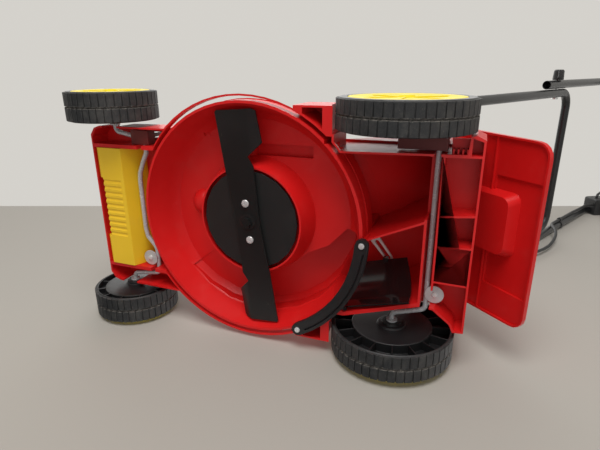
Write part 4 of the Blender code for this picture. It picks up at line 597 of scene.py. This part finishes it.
def axles():
    y, z, py, pz = FRONT_HUB_Y, FRONT_RADIUS, -0.200, 0.075
    points = [(0.1535, y, z), (0.139, y, z), (0.128, py, pz), (0.104, py, pz),
              (0.086, py - 0.010, pz), (0.066, py - 0.019, pz), (0.052, py - 0.021, pz),
              (-0.040, py - 0.021, pz), (-0.056, py - 0.018, pz), (-0.073, py - 0.003, pz),
              (-0.081, py, pz), (-0.128, py, pz), (-0.139, y, z), (-0.1535, y, z)]
    axle("front_axle", points, (y, z), (0.151, 0.203), (0.1503, 0.1532))
    y, z, py, pz = REAR_HUB_Y, REAR_RADIUS, 0.296, 0.100
    points = [(0.1555, y, z), (0.1475, y, z), (0.140, py, pz), (-0.124, py, pz), (-0.1405, y, z),
              (-0.1555, y, z)]
    axle("rear_axle", points, (y, z), (0.153, 0.199), (0.152, 0.1552))


def handle_tubes():
    """Two hoops of hollow tube, each open at its lower ends."""
    lower = [on_arm(-0.014), on_arm(0.629)]
    upper = [on_arm(0.480), on_arm(ARM_TOP), on_grip(0, 0.120)]
    for half, leg, x, bend in (("lower", lower, ARM_X, 0.040), ("upper", upper, UPPER_X, 0.045)):
        points = [Vector((-x, p.y, p.z)) for p in leg]
        points += [Vector((x, p.y, p.z)) for p in reversed(leg)]
        bm = swept(bmesh.new(), rounded_path(points, bend, 10), TUBE_R, 32, TUBE_WALL)
        piece(half + "_tube", bm, tube_black, half + "_handle_set", [half + "_handle"],
              0.0006, 2)


def bail_rod():
    """The hoop that is squeezed against the grip."""
    hinge, raised, reach = 0.040, math.radians(32), 0.092
    down = (hinge + reach * math.cos(raised), reach * math.sin(raised))
    left, right = UPPER_X - TUBE_R + 0.004, -0.164 - 0.005
    points = [on_grip(left, hinge, 0.0), on_grip(UPPER_X - 0.020, hinge, 0.0),
              on_grip(UPPER_X - 0.032, *down), on_grip(-0.142, *down), on_grip(-0.154, hinge, 0.0),
              on_grip(right, hinge, 0.0)]
    bm = swept(bmesh.new(), rounded_path(points, 0.012, 6), 0.004, 20)
    piece("bail_rod", bm, charcoal, "bail_set", ["bail"], 0.0004, 2)


def lead(name, cad_name, route, lay):
    """One length of the motor lead, as a closed tube with its own route."""
    path = smooth_path(route, 0.007)
    bm = swept(bmesh.new(), path, LEAD_R, 20)
    thing = piece(name, bm, rubber, None, [cad_name])
    length = sum((b - a).length for a, b in zip(path, path[1:]))
    return thing


def leads():
    """Down the right leg, a slack loop past the fold, and on to the motor."""
    upper_x = -UPPER_X + TUBE_R + LEAD_R + LEAD_GAP
    lower_x = -ARM_X + TUBE_R + LEAD_R + LEAD_GAP
    high, low = 0.745, 0.300
    route = rounded_path([on_grip(-0.1825, 0.0195, -0.014), on_grip(-0.1828, -0.006, -0.014),
                          on_arm(ARM_TOP - 0.060, upper_x + 0.0028, 0.0056)], 0.040, 4)[:-1]
    route += [on_arm(ARM_TOP + along, upper_x + across, out) for along, across, out in (
        (-0.034, 0.0042, 0.0070), (-0.048, 0.0034, 0.0060), (-0.070, 0.0020, 0.0040),
        (-0.095, 0.0006, 0.0012), (-0.120, 0.0, 0.0), (-0.150, 0.0, 0.0))]
    route += [on_arm(high + along, upper_x) for along in (0.020, -0.015, -0.040)]
    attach(lead("lead_upper", "cable_upper", route, "loose"), "upper_handle_set")
    route = [on_arm(high + along, upper_x + across, out) for along, across, out in (
        (-0.0404, 0.0, 0.0), (-0.054, 0.0, 0.0003), (-0.069, 0.0005, 0.0035), (-0.088, 0.0015, 0.0130),
        (-0.110, 0.0010, 0.0270), (-0.136, -0.0030, 0.0390), (-0.172, -0.0090, 0.0475))]
    route += [on_arm(low + along, x, out) for along, x, out in (
        (0.225, -0.2030, 0.0510), (0.165, -0.2015, 0.0460), (0.124, -0.1920, 0.0345),
        (0.096, -0.1800, 0.0215), (0.074, -0.1705, 0.0092), (0.058, -0.1680, 0.0023),
        (0.044, lower_x, 0.0001), (0.0304, lower_x, 0.0))]
    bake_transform(lead("lead_loop", "cable_loop", route, "hanging"), "lower_handle_set", "upper_handle_set",
             tuple(on_arm(0.400)), tuple(on_arm(0.660)))
    route = [on_arm(low + along, lower_x) for along in (0.0299, 0.015, -0.015, -0.038)]
    route += [on_arm(low * 2 / 3, -0.162, 0.002), on_arm(low * 7 / 15, -0.153, -0.010)]
    route += [from_blade(*spot) for spot in (
        (-0.144, 0.284, 0.356), (-0.130, 0.244, 0.337), (-0.110, 0.196, 0.330), (-0.086, 0.145, 0.329),
        (-0.068, 0.108, 0.321), (-0.056, 0.084, 0.306), (-0.0482, 0.0686, 0.288),
        (-0.0455, 0.0631, 0.270), (-0.045, 0.062, 0.256), (-0.045, 0.062, 0.2445))]
    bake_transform(lead("lead_tail", "cable_tail", route, "hanging"), "deck_body", "lower_handle_set",
             tuple(from_blade(-0.086, 0.145, 0.329)), tuple(on_arm(0.200, -0.162)))


def flap_spring():
    """The coil of the torsion spring round the rear flap's pin."""
    pivot = from_blade(0.0, 0.296, 0.262)
    coil, wire, pitch, turns, steps = 0.0039, 0.0010, 0.0032, 6, 24
    path = []
    for i in range(turns * steps + 1):
        angle = -math.pi / 2 + math.tau * i / steps
        path.append(Vector((pitch * (i / steps - turns / 2), pivot.y - coil * math.cos(angle),
                            pivot.z + coil * math.sin(angle))))
    bm = swept(bmesh.new(), path, wire, 12)
    piece("flap_spring_coil", bm, motor_steel, "deck_body", ["rear_flap_spring"])


axles()
handle_tubes()
bail_rod()
leads()
flap_spring()


# Small fittings on the deck

def screw_head(name, cad_name, body, radius):
    """A domed head with a cross recess, pressed over the CAD screw."""
    low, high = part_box(cad_name)
    middle = (low + high) / 2
    seat = low.z + 0.0028
    bm = spun(bmesh.new(), [
        (0.0, seat), (radius, seat), (radius, seat - 0.0010), (radius * 0.86, seat - 0.0022),
        (radius * 0.55, seat - 0.0028), (radius * 0.34, seat - 0.0030),
        (radius * 0.30, seat - 0.0016), (0.0, seat - 0.0012)], 32)
    for i in range(4):
        turn = Matrix.Rotation(math.tau * i / 4 + 0.4, 4, "Z")
        block(bm, (radius * 0.10, -0.0003, seat - 0.0022), (radius * 0.34, 0.0003, seat - 0.0013), turn)
    bmesh.ops.translate(bm, vec=(middle.x, middle.y, 0.0), verts=bm.verts)
    piece(name, bm, bright, body)


def ceiling_bump():
    """The shallow dome beside the motor ring."""
    bm = bmesh.new()
    place = Matrix.Translation(from_blade(0.012, -0.112, 0.1235))
    bmesh.ops.create_uvsphere(bm, u_segments=48, v_segments=24, radius=0.026, matrix=place)
    flat = from_blade(0.0, 0.0, 0.1145)
    cut = bmesh.ops.bisect_plane(bm, geom=bm.verts[:] + bm.edges[:] + bm.faces[:], plane_co=flat,
                                 plane_no=(0, 0, 1), clear_outer=True)["geom_cut"]
    bmesh.ops.contextual_create(bm, geom=[g for g in cut if isinstance(g, bmesh.types.BMEdge)])
    bmesh.ops.recalc_face_normals(bm, faces=bm.faces)
    piece("ceiling_bump", bm, red, "deck_body")


def blade_washer():
    """The round plate between the blade and its bolt."""
    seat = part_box("blade")[0].z
    bm = spun(bmesh.new(), [(0.0040, seat), (0.0135, seat), (0.0145, seat - 0.0008),
                            (0.0120, seat - 0.0017), (0.0040, seat - 0.0017)], 48, ring=True)
    bmesh.ops.translate(bm, vec=(0.0, BLADE_Y, 0.0), verts=bm.verts)
    piece("blade_washer", bm, blade_black, "cutting_set")


SMALL_HEAD_R = 0.0048
BLADE_HEAD_R = 0.0066


def fittings():
    for name, cad_name in (("chute_bar_head_left", "chute_bar_screw_left"),
                           ("chute_bar_head_right", "chute_bar_screw_right"),
                           ("front_washer_head", "front_washer_screw"),
                           ("rear_washer_head", "rear_washer_screw")):
        screw_head(name, cad_name, "deck_body", SMALL_HEAD_R)
    for letter in ("a", "b"):
        screw_head("blade_head_" + letter, "blade_screw_" + letter, "cutting_set", BLADE_HEAD_R)
    ceiling_bump()
    blade_washer()


fittings()


# CAD nodes that keep their shape

dress("deck", red, 0.0005)
dress("rear_flap", flap_red, 0.0005)
dress("front_grip", ochre, 0.0007)
dress(["front_height_lever", "rear_height_lever"], lever_red, 0.0006)
dress("motor_cowl", cowl_black, 0.0006)
dress("fan_disc", fan_black, 0.0003)
dress("blade", blade_black, 0.0003)
dress("blade_bolt", blade_black, 0.0004)
dress(["chute_bar", "mulch_lever", "wing_knob_left", "wing_knob_right", "cable_clip_lower",
       "cable_clip_upper"], charcoal, 0.0004)
dress("switch_box", charcoal, 0.0003)
dress("mulch_flap", gloss_black, 0.0003)
dress("mulch_crank", arm_grey, 0.0003)
dress(["plug_inlet", "cord_hook"], fitting_grey, 0.0005)
dress("start_button", button_yellow, 0.0006)
dress(["front_axle_washer", "rear_axle_washer"], washer_zinc, 0.0002)
dress("rear_flap_pin", zinc, 0.0002)
dress(["chute_bar_screw_left", "chute_bar_screw_right", "front_washer_screw", "rear_washer_screw",
       "blade_screw_a", "blade_screw_b", "fold_bolt_left", "fold_bolt_right", "lower_bolt_left",
       "lower_bolt_right"], bright, 0.0002)
dress(["motor_housing", "motor_shaft", "lower_bearing", "upper_bearing", "front_lever_spring",
       "rear_lever_spring"], motor_steel, 0.0002)
dress("motor_rotor", rotor_steel, 0.0003)
dress("motor_stator", copper, 0.0003)


# Studio

def any_of(tree, sockets):
    """1 where any of the sockets is 1."""
    joined = sockets[0]
    for socket in sockets[1:]:
        either = tree.nodes.new("ShaderNodeMath")
        either.operation = "MAXIMUM"
        tree.links.new(joined, either.inputs[0])
        tree.links.new(socket, either.inputs[1])
        joined = either.outputs[0]
    return joined


def one_sided(name, colour):
    """A floor that shows from its front only, stops no light and throws none on the mower."""
    material = bpy.data.materials.new(name)
    material.use_nodes = True
    tree = material.node_tree
    shader = tree.nodes["Principled BSDF"]
    shader.inputs["Base Color"].default_value = (*colour, 1.0)
    shader.inputs["Roughness"].default_value = 0.85
    clear = tree.nodes.new("ShaderNodeBsdfTransparent")
    mix = tree.nodes.new("ShaderNodeMixShader")
    facing = tree.nodes.new("ShaderNodeNewGeometry")
    ray = tree.nodes.new("ShaderNodeLightPath")
    away = any_of(tree, [facing.outputs["Backfacing"], ray.outputs["Is Shadow Ray"],
                         ray.outputs["Is Diffuse Ray"]])
    tree.links.new(away, mix.inputs[0])
    tree.links.new(shader.outputs[0], mix.inputs[1])
    tree.links.new(clear.outputs[0], mix.inputs[2])
    tree.links.new(mix.outputs[0], tree.nodes["Material Output"].inputs["Surface"])
    return material


def floor_plane(name, place, size, colour):
    bm = bmesh.new()
    bmesh.ops.create_grid(bm, x_segments=1, y_segments=1, size=0.5,
                          matrix=place @ Matrix.Diagonal((*size, 1.0, 1.0)))
    mesh = bpy.data.meshes.new(name)
    bm.to_mesh(mesh)
    bm.free()
    mesh.materials.append(one_sided(name + "_paint", colour))
    thing = bpy.data.objects.new(name, mesh)
    bpy.context.scene.collection.objects.link(thing)


def lamp(name, place, target, size, power):
    light = bpy.data.lights.new(name, "AREA")
    light.shape = "DISK"
    light.size = size
    light.energy = power
    thing = bpy.data.objects.new(name, light)
    bpy.context.scene.collection.objects.link(thing)
    thing.location = place
    thing.rotation_euler = (Vector(target) - Vector(place)).to_track_quat("-Z", "Y").to_euler()


SIDE_FLOOR = (0.385, 0.358, 0.318)
SIDE_TILT = math.radians(20.0146)
GROUND = (0.62, 0.61, 0.59)
BACKDROP = (0.66, 0.64, 0.60, 1.0)
SKY = (1.0, 0.99, 0.97, 1.0)
SKY_STRENGTH = 0.42


def studio():
    """The mower lies on its right wheels in the photograph, so the floor there stands upright."""
    foot = Matrix.Translation(from_blade(-0.2160, -0.2162, 0.8681)) @ Matrix.Rotation(
        SIDE_TILT, 4, "X")
    upright = Matrix.Rotation(math.pi / 2, 4, "Y")
    floor_plane("side_floor", foot @ Matrix.Translation((0.0, 0.0, -1.9)) @ upright, (3.8, 9.0),
                SIDE_FLOOR)
    floor_plane("ground", Matrix.Translation((0.0, 0.0, -0.0006)), (8.0, 8.0), GROUND)
    world = bpy.data.worlds.new("studio")
    bpy.context.scene.world = world
    world.use_nodes = True
    tree = world.node_tree
    back = tree.nodes["Background"]
    back.inputs["Color"].default_value = SKY
    back.inputs["Strength"].default_value = SKY_STRENGTH
    wall = tree.nodes.new("ShaderNodeBackground")
    wall.inputs["Color"].default_value = BACKDROP
    mix = tree.nodes.new("ShaderNodeMixShader")
    ray = tree.nodes.new("ShaderNodeLightPath")
    shown = any_of(tree, [ray.outputs[kind] for kind in (
        "Is Camera Ray", "Is Glossy Ray", "Is Transmission Ray")])
    tree.links.new(shown, mix.inputs[0])
    tree.links.new(back.outputs[0], mix.inputs[1])
    tree.links.new(wall.outputs[0], mix.inputs[2])
    tree.links.new(mix.outputs[0], tree.nodes["World Output"].inputs["Surface"])
    lamp("key", (2.6, 0.1, -1.0), (0.0, 0.0, 0.1), 1.7, 66.0)
    lamp("fill", (0.2, 0.9, -2.2), (0.0, 0.1, 0.1), 2.0, 9.0)
    lamp("top", (1.2, -1.5, 3.4), (0.0, 0.0, 0.3), 4.4, 64.0)
    lamp("back", (-2.2, 1.8, 2.2), (0.0, 0.1, 0.4), 3.0, 40.0)
    bpy.context.scene.view_settings.view_transform = "Standard"


studio()
